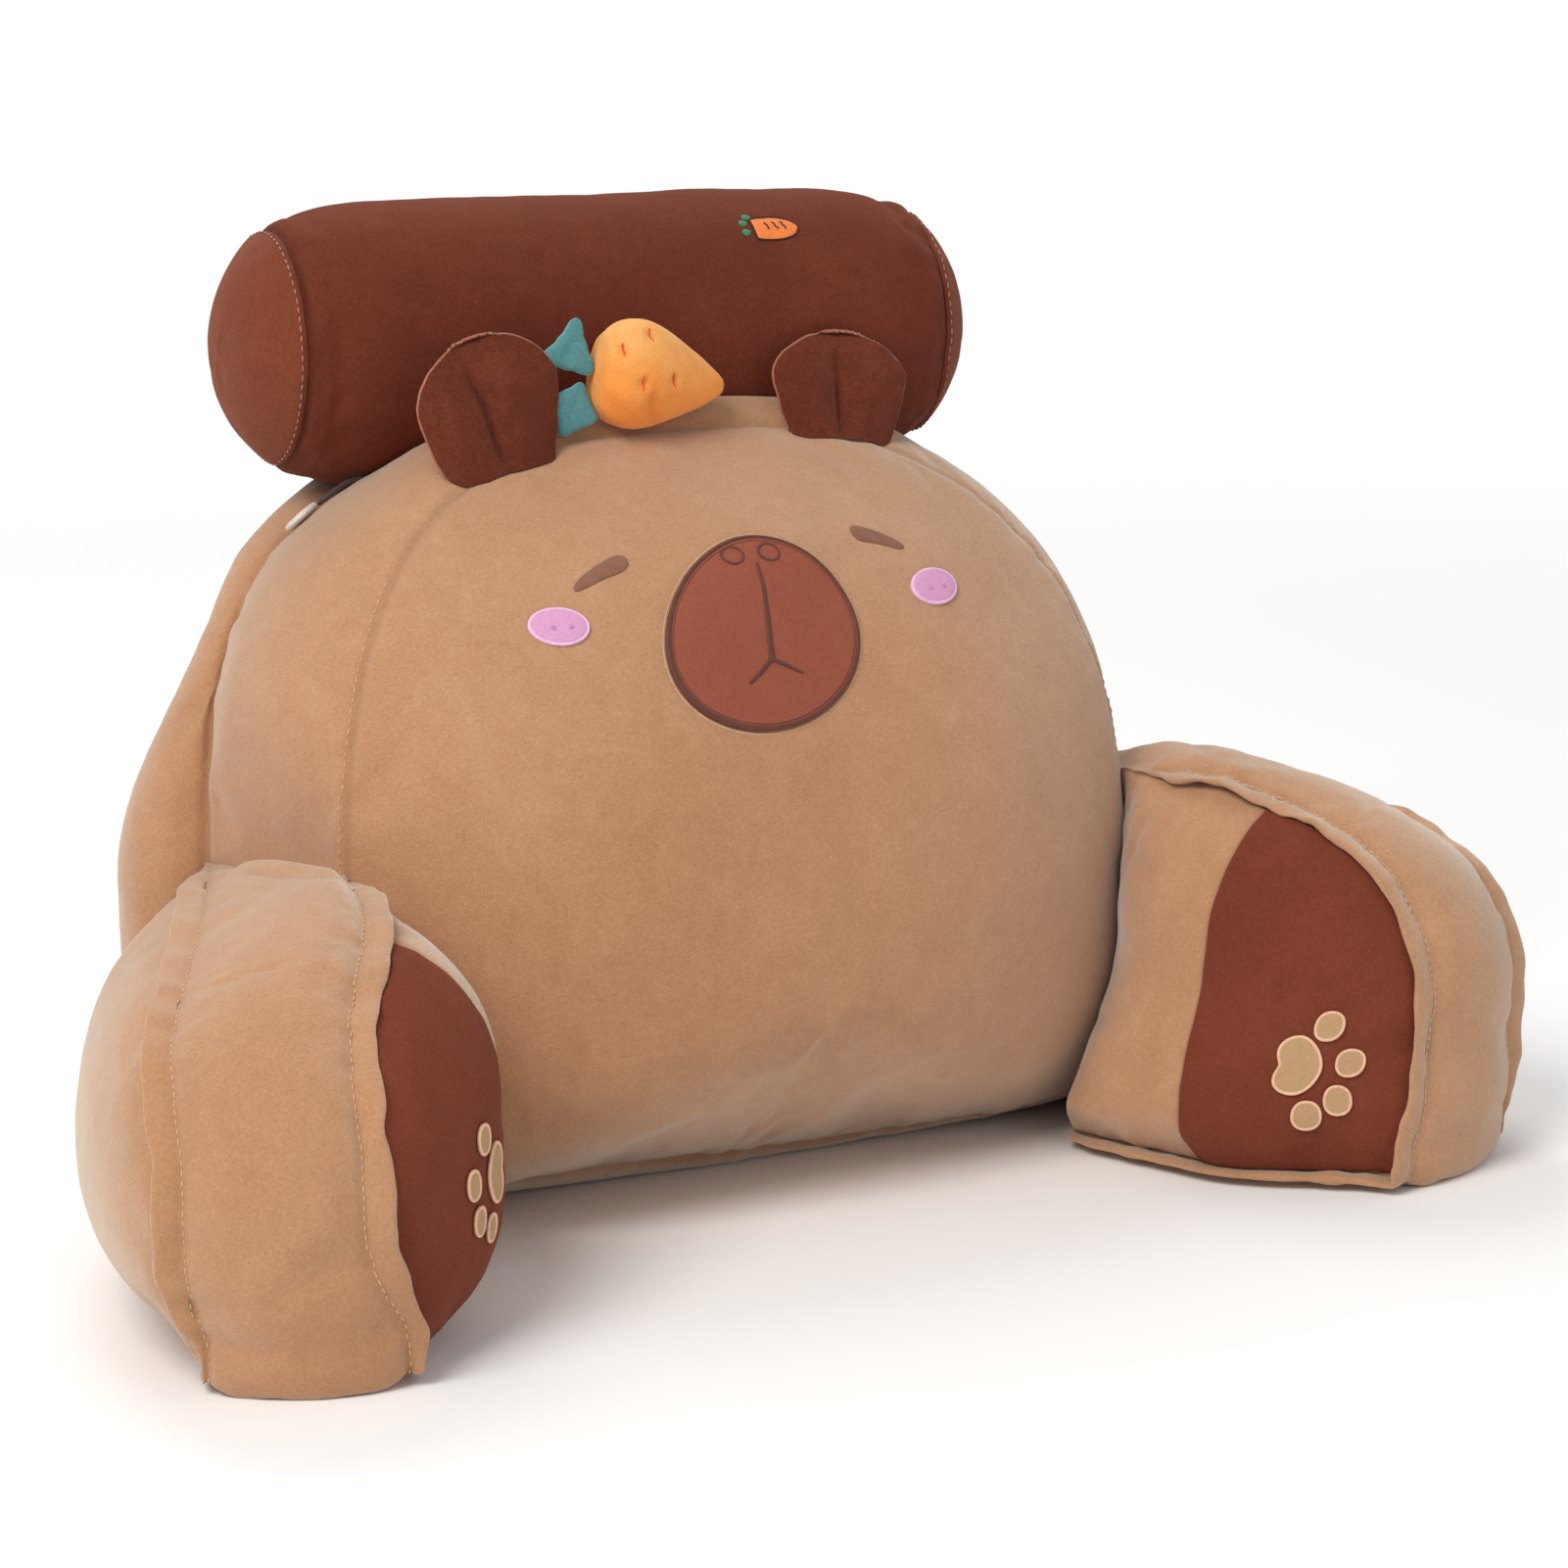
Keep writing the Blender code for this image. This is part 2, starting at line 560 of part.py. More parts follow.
def build_arm(name, side, divisions=10):
    """One arm; side is 1 on the right and -1 on the left."""
    section = band_section()
    last = len(section) - 1

    def mirrored(place):
        return Vector((side * place.x, place.y, max(place.z, 0.0)))

    def band(a, b):
        share, lift, reach = section[round(b * last)]
        turn = 3.0 * a
        along, z = rim_plan(turn)
        place = arm_seam(along, z, False, side).lerp(arm_seam(along, z, True, side), share)
        ends = smooth(0.0, FLANGE_ROOT, turn) * (1.0 - smooth(3.0 - FLANGE_FOOT, 3.0, turn))
        place += rim_outward(turn) * lift * ends
        return mirrored(place + ARM_ACROSS * reach * ends)

    def root(a, b):
        share = section[round(a * last)][0]
        z = arm_plan(0.0, b)[1]
        place = arm_root(z, False).lerp(arm_root(z, True), share)
        place += ARM_ACROSS * LAID_GAP * math.sin(math.pi * share) * math.sin(math.pi * b)
        return mirrored(place)

    mesh = bmesh.new()
    add_patch(mesh, lambda a, b: mirrored(arm_inner(a, b, side)), divisions, divisions)
    add_patch(mesh, lambda a, b: mirrored(arm_outer(a, b, side)), divisions, divisions)
    add_patch(mesh, band, 3 * divisions, last)
    add_patch(mesh, root, last, divisions)
    return finish_object(name, mesh, "tan")


# ---------------------------------------------------------------- pieces laid on the cloth
def facet_tree(cloth):
    """The facets of a piece, on which smaller pieces find their seats."""
    mesh = bmesh.new()
    mesh.from_mesh(cloth.data)
    tree = BVHTree.FromBMesh(mesh)
    mesh.free()
    return tree


def square_edge(a):
    """Walk once round the unit square as a goes from 0 to 1."""
    side = min(3, int(a * 4.0))
    part = a * 4.0 - side
    return ((part, 0.0), (1.0, part), (1.0 - part, 1.0), (0.0, 1.0 - part))[side]


def build_sheet(name, lay, thickness, material_name, divisions):
    """A closed sheet; lay(a, b, height) gives a place on it, height 0 being its underside."""
    mesh = bmesh.new()
    add_patch(mesh, lambda a, b: lay(a, b, 0.0), divisions, divisions)
    add_patch(mesh, lambda a, b: lay(a, b, thickness), divisions, divisions)
    add_patch(mesh, lambda a, b: lay(*square_edge(a), thickness * b), 4 * divisions, 1)
    return finish_object(name, mesh, material_name)


def surface_normal(surface, u, v, step):
    """Unit normal of a surface given by its two numbers, by small differences."""
    across = surface(u + step, v) - surface(u - step, v)
    up = surface(u, v + step) - surface(u, v - step)
    return across.cross(up).normalized()


def on_face(x, z):
    return Vector((x, face_place(x, z), z))


def build_face_patch(name, tree, centre, half_width, half_height, egg, material_name, divisions):
    """An oval patch on the face panel, narrower at its top by the share egg."""
    def lay(a, b, height):
        share, angle = square_to_round(a, b)
        narrow = 1.0 - egg * math.sin(angle)
        x = centre[0] + share * half_width * narrow * math.cos(angle)
        z = centre[1] + share * half_height * math.sin(angle)
        normal = surface_normal(on_face, x, z, 0.002)
        seat = tree.ray_cast(Vector((x, -1.0, z)), Vector((0.0, 1.0, 0.0)))[0]
        return seat + normal * (LAID_GAP + height)

    return build_sheet(name, lay, APPLIQUE_THICKNESS, material_name, divisions)


def arm_seat(side, tree, along, z):
    """The inner panel's facet beside a place on the arm's side."""
    start = arm_root(z, False) + ARM_ALONG * along - ARM_ACROSS * FACE_HALF_WIDTH
    start.x *= side
    return tree.ray_cast(start, Vector((side * ARM_ACROSS.x, ARM_ACROSS.y, 0.0)))[0]


def off_arm(side, tree, along, z, height):
    """A place this high over the inner panel of an arm."""
    step = 0.5 * PANEL_INSET
    length = arm_seat(side, tree, along + step, z) - arm_seat(side, tree, along - step, z)
    rise = arm_seat(side, tree, along, z + step) - arm_seat(side, tree, along, z - step)
    normal = length.cross(rise).normalized() * side
    return arm_seat(side, tree, along, z) + normal * height


def panel_start(z):
    """Where the brown part starts along the arm, at a height."""
    share = z / ARM_HEIGHT
    ends = PANEL_START_FOOT + (PANEL_START_TOP - PANEL_START_FOOT) * share
    belly = PANEL_START_BELLY - 0.5 * (PANEL_START_FOOT + PANEL_START_TOP)
    return ends + belly * 4.0 * share * (1.0 - share)


def panel_end(z):
    """Where the brown part ends along the arm, inside the seam of the round front corner."""
    reach = ARM_LENGTH - PANEL_INSET - ARM_CURVE_START
    rise = max(0.0, z - ARM_NOSE_Z) / (ARM_HEIGHT - PANEL_INSET - ARM_NOSE_Z)
    toe = ARM_TOE_IN * max(0.0, 1.0 - z / ARM_NOSE_Z) ** 2
    return ARM_CURVE_START + reach * max(0.0, 1.0 - rise ** ARM_NOSE_POWER) ** (1.0 / ARM_NOSE_POWER) - toe


def build_arm_panel(name, side, tree, divisions=12):
    """The brown part of the arm's inner side, from its seam with the tan part to the front."""
    low = ARM_SEAM_FOOT + PANEL_INSET
    high = ARM_HEIGHT
    while panel_end(high) < panel_start(high) + PANEL_INSET:
        high -= 0.1 * PANEL_INSET

    def lay(a, b, height):
        z = low + (high - low) * smooth(0.0, 1.0, b)
        along = panel_start(z) + (panel_end(z) - panel_start(z)) * a
        return off_arm(side, tree, along, z, PANEL_GAP + height)

    return build_sheet(name, lay, PANEL_THICKNESS, "panel_brown", divisions)


def pad_reach(angle, notch):
    """Outline of a paw pad round its middle; a notch makes it a heart that points forward."""
    power = PAD_ROUND_POWER if notch == 0.0 or math.cos(angle) < 0.0 else PAD_POINT_POWER
    reach = (abs(math.cos(angle)) ** power + abs(math.sin(angle)) ** power) ** (-1.0 / power)
    return reach * (1.0 - notch * max(0.0, -math.cos(angle)) ** PAD_NOTCH_POWER)


def build_paw(prefix, side, tree):
    for row in PAW_ROWS:
        pad = dict(zip(PAW_COLUMNS, row))

        def lay(a, b, height):
            share, angle = square_to_round(a, b)
            reach = share * pad_reach(angle, pad["notch"])
            along = pad["along"] + reach * math.cos(angle) * pad["half_length"]
            z = pad["z"] + reach * math.sin(angle) * pad["half_height"]
            lift = PANEL_GAP + PANEL_THICKNESS + LAID_GAP
            return off_arm(side, tree, along, z, lift + height)

        divisions = 5 if pad["notch"] else 4
        build_sheet(f"{prefix}_{pad['name']}", lay, APPLIQUE_THICKNESS, "beige", divisions)


# ---------------------------------------------------------------- ears, carrot, buttons
def seat_height(tree, x, y):
    hit = tree.ray_cast(Vector((x, y, 1.0)), Vector((0.0, 0.0, -1.0)))[0]
    return hit.z


def ear_half_width(b):
    """The ear's outline: a broad foot, widest at half its height, and a round top."""
    foot = EAR_BASE_SHARE + (1.0 - EAR_BASE_SHARE) * smooth(0.0, 0.5, b)
    return 0.5 * EAR_WIDTH * foot * max(0.0, 1.0 - b ** EAR_TOP_POWER) ** 0.5


def build_ear(name, side, tree, columns=9, rows=8):
    """A flat stuffed ear that stands on the face panel's seam."""
    ear_x = EAR_X[side]
    base_z = seat_height(tree, side * ear_x, seam_y(ear_x, FACE_TOP))
    base_y = seam_y(ear_x, base_z) - EAR_SET_FORWARD

    def ear_side(face):
        def place(a, b):
            rise = math.sin(0.5 * math.pi * b)
            across = (2.0 * a - 1.0) * ear_half_width(rise)
            edge = max(0.0, 1.0 - abs(2.0 * a - 1.0) ** EAR_EDGE_POWER)
            half = 0.5 * EAR_THICKNESS * (edge * max(0.0, 1.0 - rise ** EAR_RISE_POWER)) ** 0.5
            height = rise * EAR_HEIGHT[side]
            x = side * (ear_x + height * math.sin(EAR_TILT_OUT)) + across * math.cos(EAR_TILT_OUT)
            y = base_y + height * math.sin(EAR_TILT_BACK[side]) + face * half
            rise_z = height * math.cos(EAR_TILT_BACK[side])
            top = base_z + rise_z - side * across * math.sin(EAR_TILT_OUT)
            foot = seat_height(tree, x, y) + EAR_SEAT_GAP
            return Vector((x, y, foot + (top - foot) * smooth(0.0, 0.5, rise)))
        return place

    front = ear_side(-1.0)
    back = ear_side(1.0)
    mesh = bmesh.new()
    add_patch(mesh, front, columns, rows)
    add_patch(mesh, back, columns, rows)
    add_patch(mesh, lambda a, b: front(a, 0.0).lerp(back(a, 0.0), b), columns, 1)
    return finish_object(name, mesh, "ear_brown")


def carrot_profile(share):
    """Radius of the carrot at a share of its length, from the blunt end to the tip."""
    if share >= 1.0:
        return 0.0
    blunt = (1.0 - (1.0 - min(1.0, share / CARROT_WIDEST)) ** CARROT_BLUNTNESS) ** 0.5
    taper = 1.0 - max(0.0, (share - CARROT_WIDEST) / (1.0 - CARROT_WIDEST)) ** CARROT_TAPER_POWER
    return CARROT_RADIUS * blunt * (CARROT_TIP * (1.0 - share) + (1.0 - CARROT_TIP) * taper)


def build_carrot(tree, sides=18, rows=14):
    """A stuffed carrot that lies on the shoulder in front of the bolster."""
    axis = Vector((math.cos(CARROT_DROOP), 0.0, -math.sin(CARROT_DROOP)))
    up = Vector((math.sin(CARROT_DROOP), 0.0, math.cos(CARROT_DROOP)))
    back = Vector((0.0, 1.0, 0.0))

    def shape(a, b):
        share = 0.5 - 0.5 * math.cos(math.pi * b)
        radius = carrot_profile(share)
        turn = 2.0 * math.pi * (a % 1.0)
        along = CARROT_LENGTH * (share - 0.5)
        depth = CARROT_FLATNESS * radius * math.sin(turn)
        return axis * along + up * radius * math.cos(turn) + back * depth

    start = Vector((CARROT_X, CARROT_Y, 0.0))
    drop = -1.0
    for row in range(1, rows):
        for column in range(sides):
            place = start + shape(column / sides, row / rows)
            drop = max(drop, seat_height(tree, place.x, place.y) - place.z)
    start.z = drop + GAP
    mesh = bmesh.new()
    add_patch(mesh, lambda a, b: start + shape(a, b), sides, rows)
    return finish_object("carrot", mesh, "orange")


def build_leaves(tree):
    """Two small stuffed leaves at the carrot's blunt end."""
    for row in LEAF_ROWS:
        leaf = dict(zip(LEAF_COLUMNS, row))
        tilt = math.radians(leaf["tilt"])

        def lay(a, b, face):
            share, angle = square_to_round(a, b)
            scallop = 1.0
            if leaf["lobes"]:
                scallop += LEAF_SCALLOP * math.cos(leaf["lobes"] * angle * 2.0)
            along = share * scallop * leaf["half_length"] * math.cos(angle)
            across = share * scallop * leaf["half_width"] * math.sin(angle)
            x = leaf["x"] + along * math.cos(tilt) - across * math.sin(tilt)
            z = leaf["z"] + along * math.sin(tilt) + across * math.cos(tilt)
            half = 0.5 * LEAF_THICKNESS * max(0.0, 1.0 - share ** LEAF_EDGE_POWER) ** 0.5
            return Vector((x, CARROT_Y + face * half, z))

        mesh = bmesh.new()
        add_patch(mesh, lambda a, b: lay(a, b, -1.0), 6, 6)
        add_patch(mesh, lambda a, b: lay(a, b, 1.0), 6, 6)
        finish_object(leaf["name"], mesh, "teal")


def button_seat(side, tree):
    """Middle of the button's seat on the shoulder, and the direction out of the cloth."""
    turn = (BUTTON_ANGLE + math.pi / 4.0) / (2.0 * math.pi)
    place = boxing_point(turn, BUTTON_SHARE)
    x = abs(place.x) * side
    seat, normal, _, _ = tree.find_nearest(Vector((x, place.y, place.z)))
    return seat, normal if normal.x * side > 0.0 else -normal


def build_button(name, side, tree, sides=18):
    """A round covered button with a softly crowned top."""
    seat, normal = button_seat(side, tree)
    across = normal.cross(Vector((0.0, 1.0, 0.0))).normalized()
    up = normal.cross(across)
    start = seat + normal * 2.0 * GAP

    def point(a, b):
        place = dict(zip(BUTTON_COLUMNS, BUTTON_ROWS[round(b * (len(BUTTON_ROWS) - 1))]))
        turn = 2.0 * math.pi * (a % 1.0)
        spoke = across * math.cos(turn) + up * math.sin(turn)
        height = BUTTON_THICKNESS * place["height"]
        return start + spoke * BUTTON_RADIUS * place["radius"] + normal * height

    mesh = bmesh.new()
    add_patch(mesh, point, sides, len(BUTTON_ROWS) - 1)
    return finish_object(name, mesh, "button", BUTTON_ROUGHNESS)


def bolster_clearance(place):
    """How far a place is from the side of the bolster."""
    offset = place - Vector(BOLSTER_CENTRE)
    along = offset.dot(bolster_axis())
    return (offset - bolster_axis() * along).length - bolster_radius(along)


def build_loop(name, side, tree):
    """A short cord from the bolster down to the button and back, lying on the shoulder."""
    seat, normal = button_seat(side, tree)
    towards = Vector(BOLSTER_CENTRE) + bolster_axis() * side * BOLSTER_HALF_LENGTH - seat
    towards = (towards - normal * towards.dot(normal)).normalized()
    aside = normal.cross(towards)
    bend = BUTTON_RADIUS + LOOP_RADIUS + GAP + LOOP_HALF_WIDTH

    def laid(along, across):
        place = seat + towards * along + aside * across
        found, out, _, _ = tree.find_nearest(place)
        if out.dot(normal) < 0.0:
            out = -out
        return found + out * (LOOP_RADIUS + 2.0 * GAP)

    reach = bend
    while bolster_clearance(laid(reach, 0.0)) > LOOP_RADIUS + 2.0 * GAP:
        reach += 0.25 * LOOP_RADIUS
    steps = 4
    path = [laid(reach + (bend - reach) * step / steps, LOOP_HALF_WIDTH) for step in range(steps)]
    for step in range(2 * steps + 1):
        turn = math.pi * step / (2.0 * steps)
        path.append(laid(bend - LOOP_HALF_WIDTH * math.sin(turn), LOOP_HALF_WIDTH * math.cos(turn)))
    path += [laid(bend + (reach - bend) * (step + 1) / steps, -LOOP_HALF_WIDTH) for step in range(steps)]
    curve = bpy.data.curves.new(name, "CURVE")
    curve.dimensions = "3D"
    curve.bevel_depth = LOOP_RADIUS
    curve.bevel_resolution = 1
    curve.use_fill_caps = True
    spline = curve.splines.new("POLY")
    spline.points.add(len(path) - 1)
    for point, place in zip(spline.points, path):
        point.co = (*place, 1.0)
    curve.materials.append(material("loop"))
    return place_object(name, curve)


def main():
    for old in list(bpy.data.objects):
        bpy.data.objects.remove(old, do_unlink=True)
    cushion = build_back_cushion()
    tree = facet_tree(cushion)
    build_bolster()
    for word, side in (("left", -1), ("right", 1)):
        arm_tree = facet_tree(build_arm(f"arm_{word}", side))
        build_arm_panel(f"arm_panel_{word}", side, arm_tree)
        build_paw(f"paw_{word}", side, arm_tree)
        build_ear(f"ear_{word}", side, tree)
        build_button(f"button_{word}", side, tree)
        build_loop(f"loop_{word}", side, tree)
        build_face_patch(f"cheek_{word}", tree, (side * CHEEK_X, CHEEK_Z), CHEEK_HALF_WIDTH,
                         CHEEK_HALF_HEIGHT, 0.0, "pink", 5)
    build_face_patch("nose_patch", tree, (NOSE_X, NOSE_Z), NOSE_HALF_WIDTH, NOSE_HALF_HEIGHT, NOSE_EGG,
                     "nose_brown", 10)
    build_carrot(tree)
    build_leaves(tree)


main()
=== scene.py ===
"""Looks of the reading pillow with arms: stuffed plush pieces, appliques, embroidery and stitching.

Metres, +Z up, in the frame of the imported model. Depths are counted from the foot of the face panel's
seam, as in the part's own design, and each object is then moved by DEPTH_TO_MIDDLE.
"""
import random
from math import asin, atan2, cos, exp, hypot, pi, radians, sin, sqrt

import bmesh
import bpy
import numpy as np
from mathutils import Matrix, Vector, noise
from mathutils.bvhtree import BVHTree
from mathutils.kdtree import KDTree


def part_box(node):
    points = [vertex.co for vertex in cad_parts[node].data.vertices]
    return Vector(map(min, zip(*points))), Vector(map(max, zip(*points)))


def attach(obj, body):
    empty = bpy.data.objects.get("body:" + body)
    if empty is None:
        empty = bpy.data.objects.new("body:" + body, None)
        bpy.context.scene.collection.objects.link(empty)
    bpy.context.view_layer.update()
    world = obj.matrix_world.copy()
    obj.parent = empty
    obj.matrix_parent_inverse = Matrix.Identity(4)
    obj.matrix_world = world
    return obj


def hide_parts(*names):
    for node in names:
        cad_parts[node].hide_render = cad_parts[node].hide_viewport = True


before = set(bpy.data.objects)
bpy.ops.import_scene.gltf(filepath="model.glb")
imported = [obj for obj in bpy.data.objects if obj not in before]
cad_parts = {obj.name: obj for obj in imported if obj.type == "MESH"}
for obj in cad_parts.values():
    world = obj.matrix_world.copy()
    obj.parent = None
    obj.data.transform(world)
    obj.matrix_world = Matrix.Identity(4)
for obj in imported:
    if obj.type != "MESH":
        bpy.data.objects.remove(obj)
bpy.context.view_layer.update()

DEPTH_TO_MIDDLE = 0.0087    # from the foot of the face panel's seam back to the middle of the box

# ---------------------------------------- the back cushion's sizes
FACE_TOP = 0.352            # top of the face panel's seam
FACE_HALF_WIDTH = 0.208
WIDEST_Z = 0.106            # height at which the face panel is widest
SEAM_FOOT = 0.008           # the lower seams lie this high over the floor
SEAM_FOOT_LIFT = 0.0095     # and the face panel's seam is higher by this much at its left
DOME_POWER = 2.8
FOOT_POWER = 9.0
BACK_TOP = 0.334
BACK_HALF_WIDTH = 0.228
BACK_DOME_POWER = 3.2
BOXING_DEPTH = 0.108
FORWARD_LEAN = 0.16
TOP_SET_BACK = 0.1135
FOOT_BOW = 0.018
FACE_CROWN = 0.066
FACE_CROWN_POWER = 2.5
FOREHEAD = 0.0130           # the stuffing swells the panel behind the nose patch's top
FOREHEAD_Z = 0.305
MUZZLE_HOLLOW = 0.0060      # and hollows it below
MUZZLE_Z = 0.246
FACE_WAVE_HEIGHT = 0.024
FACE_WAVE_WIDTH = 0.056
BACK_CROWN = 0.086
BACK_TOP_CROWN = 0.045
BACK_CROWN_POWER = 2.6
BACK_SWELL = 0.031
BACK_TOP_SWELL = 0.008
BACK_SWELL_DEPTH = 0.036
BACK_TOP_SWELL_DEPTH = 0.016
BACK_ROLL = 0.76
BACK_HIGH_FROM = 0.150
BACK_HIGH_TO = 0.275
BOXING_CROWN = 0.013
BOXING_TOP_CROWN = 0.022
BOXING_CROWN_POWER = 0.7
BOXING_RISE = 0.06
BOXING_TOP_SHARE = 0.8
FOOT_CROWN = 0.020
FOOT_SQUARE_Z = 0.026

# ---------------------------------------- the arms' sizes
ARM_LENGTH = 0.190
ARM_HEIGHT = 0.186
ARM_ROOT_HEIGHT = 0.178
ARM_SPLAY = radians(18.0)
ARM_SEAM_FOOT = 0.006
ARM_BAND_WIDTH = 0.076
ARM_BAND_CROWN = 0.012
ARM_BAND_CROWN_POWER = 0.6
ARM_INNER_CROWN = {1: 0.049, -1: 0.056}
ARM_OUTER_CROWN = 0.056
ARM_OUTER_SHIFT = (0.56, 0.82)
ARM_CROWN_POWER = 2.4
ARM_CROWN_FULLNESS = 0.85
ARM_NOSE_Z = 0.071
ARM_NOSE_POWER = 2.65
ARM_CURVE_START = -0.047
ARM_TOE_IN = 0.005
ARM_CORNER_START = 0.42
ARM_ROOT_DIP = 0.45
ARM_OUTER_SCALE = (0.945, 0.955)
ARM_LOWER_FROM = 0.3
ARM_FOOT_SPREAD = {1: 0.052, -1: 0.019}
ARM_FOOT_SPREAD_TOP = 0.100
SPREAD_START = {1: 0.13, -1: 0.30}
SPREAD_FADE = 0.55
SPREAD_FADE_BY = 0.75
ARM_ALONG = Vector((sin(ARM_SPLAY), -cos(ARM_SPLAY), 0.0))
ARM_ACROSS = Vector((cos(ARM_SPLAY), sin(ARM_SPLAY), 0.0))
FLANGE_WIDTH = 0.0135
FLANGE_THICKNESS = 0.0034
FLANGE_ROOT = 0.30          # the flange is whole this far round the rim from the root, at the top
FLANGE_FOOT = 0.20          # and at the foot
FLANGE_TUCK = {1: (0.0, 0.75), -1: (0.45, 0.80)}    # how far the inner and outer ones are tucked in below
RIM_STEP = 0.04
PANEL_START = {1: (0.102, 0.088, 0.095), -1: (0.108, 0.108, 0.095)}   # at foot, belly and top
PANEL_INSET = 0.0026        # the brown part reaches this near to the arm's seam
ARM_FRONT_DRAW = {1: 0.009, -1: 0.0}    # the front is drawn in at half its height
ARM_FOOT_REACH = {1: 0.004, -1: 0.003}  # and reaches out at its foot
ARM_BAND_BOW = {1: (0.0, 0.0), -1: (0.0125, 0.0065)}   # its inner and outer seams bow outwards,
ARM_TOP_BOW = (0.5, 0.9)               # and do so more by these shares at its top
ARM_BODY_GAP = 0.0012
ARM_ARC_DEPTH = {1: 0.0006, -1: 0.0022}  # of the tuck across the band, near its root
ARM_ROOT_LOWER = 0.07                   # its outer seam starts lower
ARM_INNER_SHIFT = {1: 0.72, -1: 0.90}   # below one, the inner panel is fullest nearer its root

# ---------------------------------------- the bolster and the small pieces
BOLSTER_RADIUS = 0.067
BOLSTER_HALF_LENGTH = 0.163
BOLSTER_SEAM_RADIUS = 0.056
BOLSTER_CAP_CROWN = 0.026
BOLSTER_CAP_POWER = 2.6
BOLSTER_CENTRE = Vector((0.0025, 0.139, 0.389))
BOLSTER_YAW = radians(-5.0)
BOLSTER_DROOP = radians(1.2)
BOLSTER_TAPER_START = 0.60
BOLSTER_TAPER_POWER = 2.5
BOLSTER_BED_GAP = 0.0012
EAR_WIDTH = {1: 0.081, -1: 0.079}
EAR_HEIGHT = {1: 0.0430, -1: 0.0545}
EAR_THICKNESS = 0.013
EAR_X = {1: 0.087, -1: 0.091}
EAR_SET_FORWARD = 0.0045
EAR_TILT_OUT = {1: radians(7.0), -1: radians(13.0)}
EAR_TILT_BACK = {1: radians(13.0), -1: radians(8.0)}
EAR_BASE_SHARE = 0.70
CARROT_LENGTH = 0.072
CARROT_RADIUS = 0.0260
CARROT_FLATNESS = 0.72
CARROT_WIDEST = 0.34
CARROT_BLUNTNESS = 2.4
CARROT_TAPER_POWER = 1.55
CARROT_TIP = 0.13
CARROT_DROOP = radians(11.0)
LEAF_THICKNESS = 0.0045
NOSE_HALF_WIDTH = 0.0497
NOSE_HALF_HEIGHT = 0.0405
NOSE_X = -0.0056
NOSE_Z = 0.2682
NOSE_EGG = 0.10
NOSE_SHEAR = 0.17            # its top lies to the right by this share of its height
CHEEK_X = {1: 0.0932, -1: -0.1012}
CHEEK_Z = 0.2785
CHEEK_HALF_WIDTH = 0.0135
CHEEK_HALF_HEIGHT = 0.0074

PAW_COLUMNS = ("name", "along", "z", "half_length", "half_height", "notch")
PAW_SHIFT = {1: (0.004, -0.001), -1: (-0.009, 0.014)}     # along the arm and upwards
PAW_NARROWING = {1: 1.0, -1: 0.84}      # where the panel slopes away, less of the arm's length is covered
PAW_ROWS = (
    ("heel", 0.1400, 0.0617, 0.0108, 0.0138, 0.36),
    ("toe_1", 0.1505, 0.0800, 0.0060, 0.0070, 0.0),
    ("toe_2", 0.1605, 0.0630, 0.0052, 0.0070, 0.0),
    ("toe_3", 0.1567, 0.0458, 0.0052, 0.0070, 0.0),
    ("toe_4", 0.1455, 0.0390, 0.0056, 0.0066, 0.0),
)


# ---------------------------------------- camera, light and floor
CAMERA_TARGET = Vector((0.02496, -DEPTH_TO_MIDDLE, 0.18856))
CAMERA_AZIMUTH = radians(-29.3152)
CAMERA_ELEVATION = radians(11.742)
CAMERA_ROLL = radians(-1.0565)
CAMERA_DISTANCE = 2.0368
CAMERA_LENS = 99.98
SENSOR = 36.0


def aim(thing, place, target, roll=0.0):
    """Point a camera or a lamp from a place at a target."""
    forward = (target - place).normalized()
    right = forward.cross(Vector((0.0, 0.0, 1.0))).normalized()
    up = right.cross(forward)
    turned = right * cos(roll) + up * sin(roll)
    over = up * cos(roll) - right * sin(roll)
    axes = Matrix((turned, over, -forward)).transposed()
    thing.matrix_world = Matrix.Translation(place) @ axes.to_4x4()


def link(made):
    bpy.context.scene.collection.objects.link(made)
    return made


def add_camera():
    data = bpy.data.cameras.new("camera")
    data.lens = CAMERA_LENS
    data.sensor_width = SENSOR
    camera = link(bpy.data.objects.new("camera", data))
    level = cos(CAMERA_ELEVATION)
    towards = Vector((sin(CAMERA_AZIMUTH) * level, -cos(CAMERA_AZIMUTH) * level,
                      sin(CAMERA_ELEVATION)))
    aim(camera, CAMERA_TARGET + towards * CAMERA_DISTANCE, CAMERA_TARGET, CAMERA_ROLL)
    bpy.context.scene.camera = camera


LAMP_COLUMNS = ("name", "place", "size", "watts", "colour")
LAMP_ROWS = (
    ("key", (-2.0, -1.1, 2.5), 1.7, 70.0, (1.0, 0.98, 0.95)),
    ("front", (0.2, -3.0, 1.4), 2.4, 8.0, (1.0, 0.98, 0.96)),
    ("right", (2.4, -0.6, 1.6), 1.8, 4.0, (0.96, 0.98, 1.0)),
    ("behind", (0.3, 2.0, 2.6), 2.0, 36.0, (1.0, 0.99, 0.97)),
)
WORLD_STRENGTH = 0.50
FLOOR_RADIUS = 3.0
FLOOR_FADE = (0.9, 2.6)     # the floor fades into the white round about between these radii


def add_lamps():
    for row in LAMP_ROWS:
        lamp = dict(zip(LAMP_COLUMNS, row))
        data = bpy.data.lights.new(lamp["name"], "AREA")
        data.shape = "DISK"
        data.size = lamp["size"]
        data.energy = lamp["watts"]
        data.color = lamp["colour"]
        made = link(bpy.data.objects.new(lamp["name"], data))
        aim(made, Vector(lamp["place"]), Vector((0.0, 0.0, 0.2)))


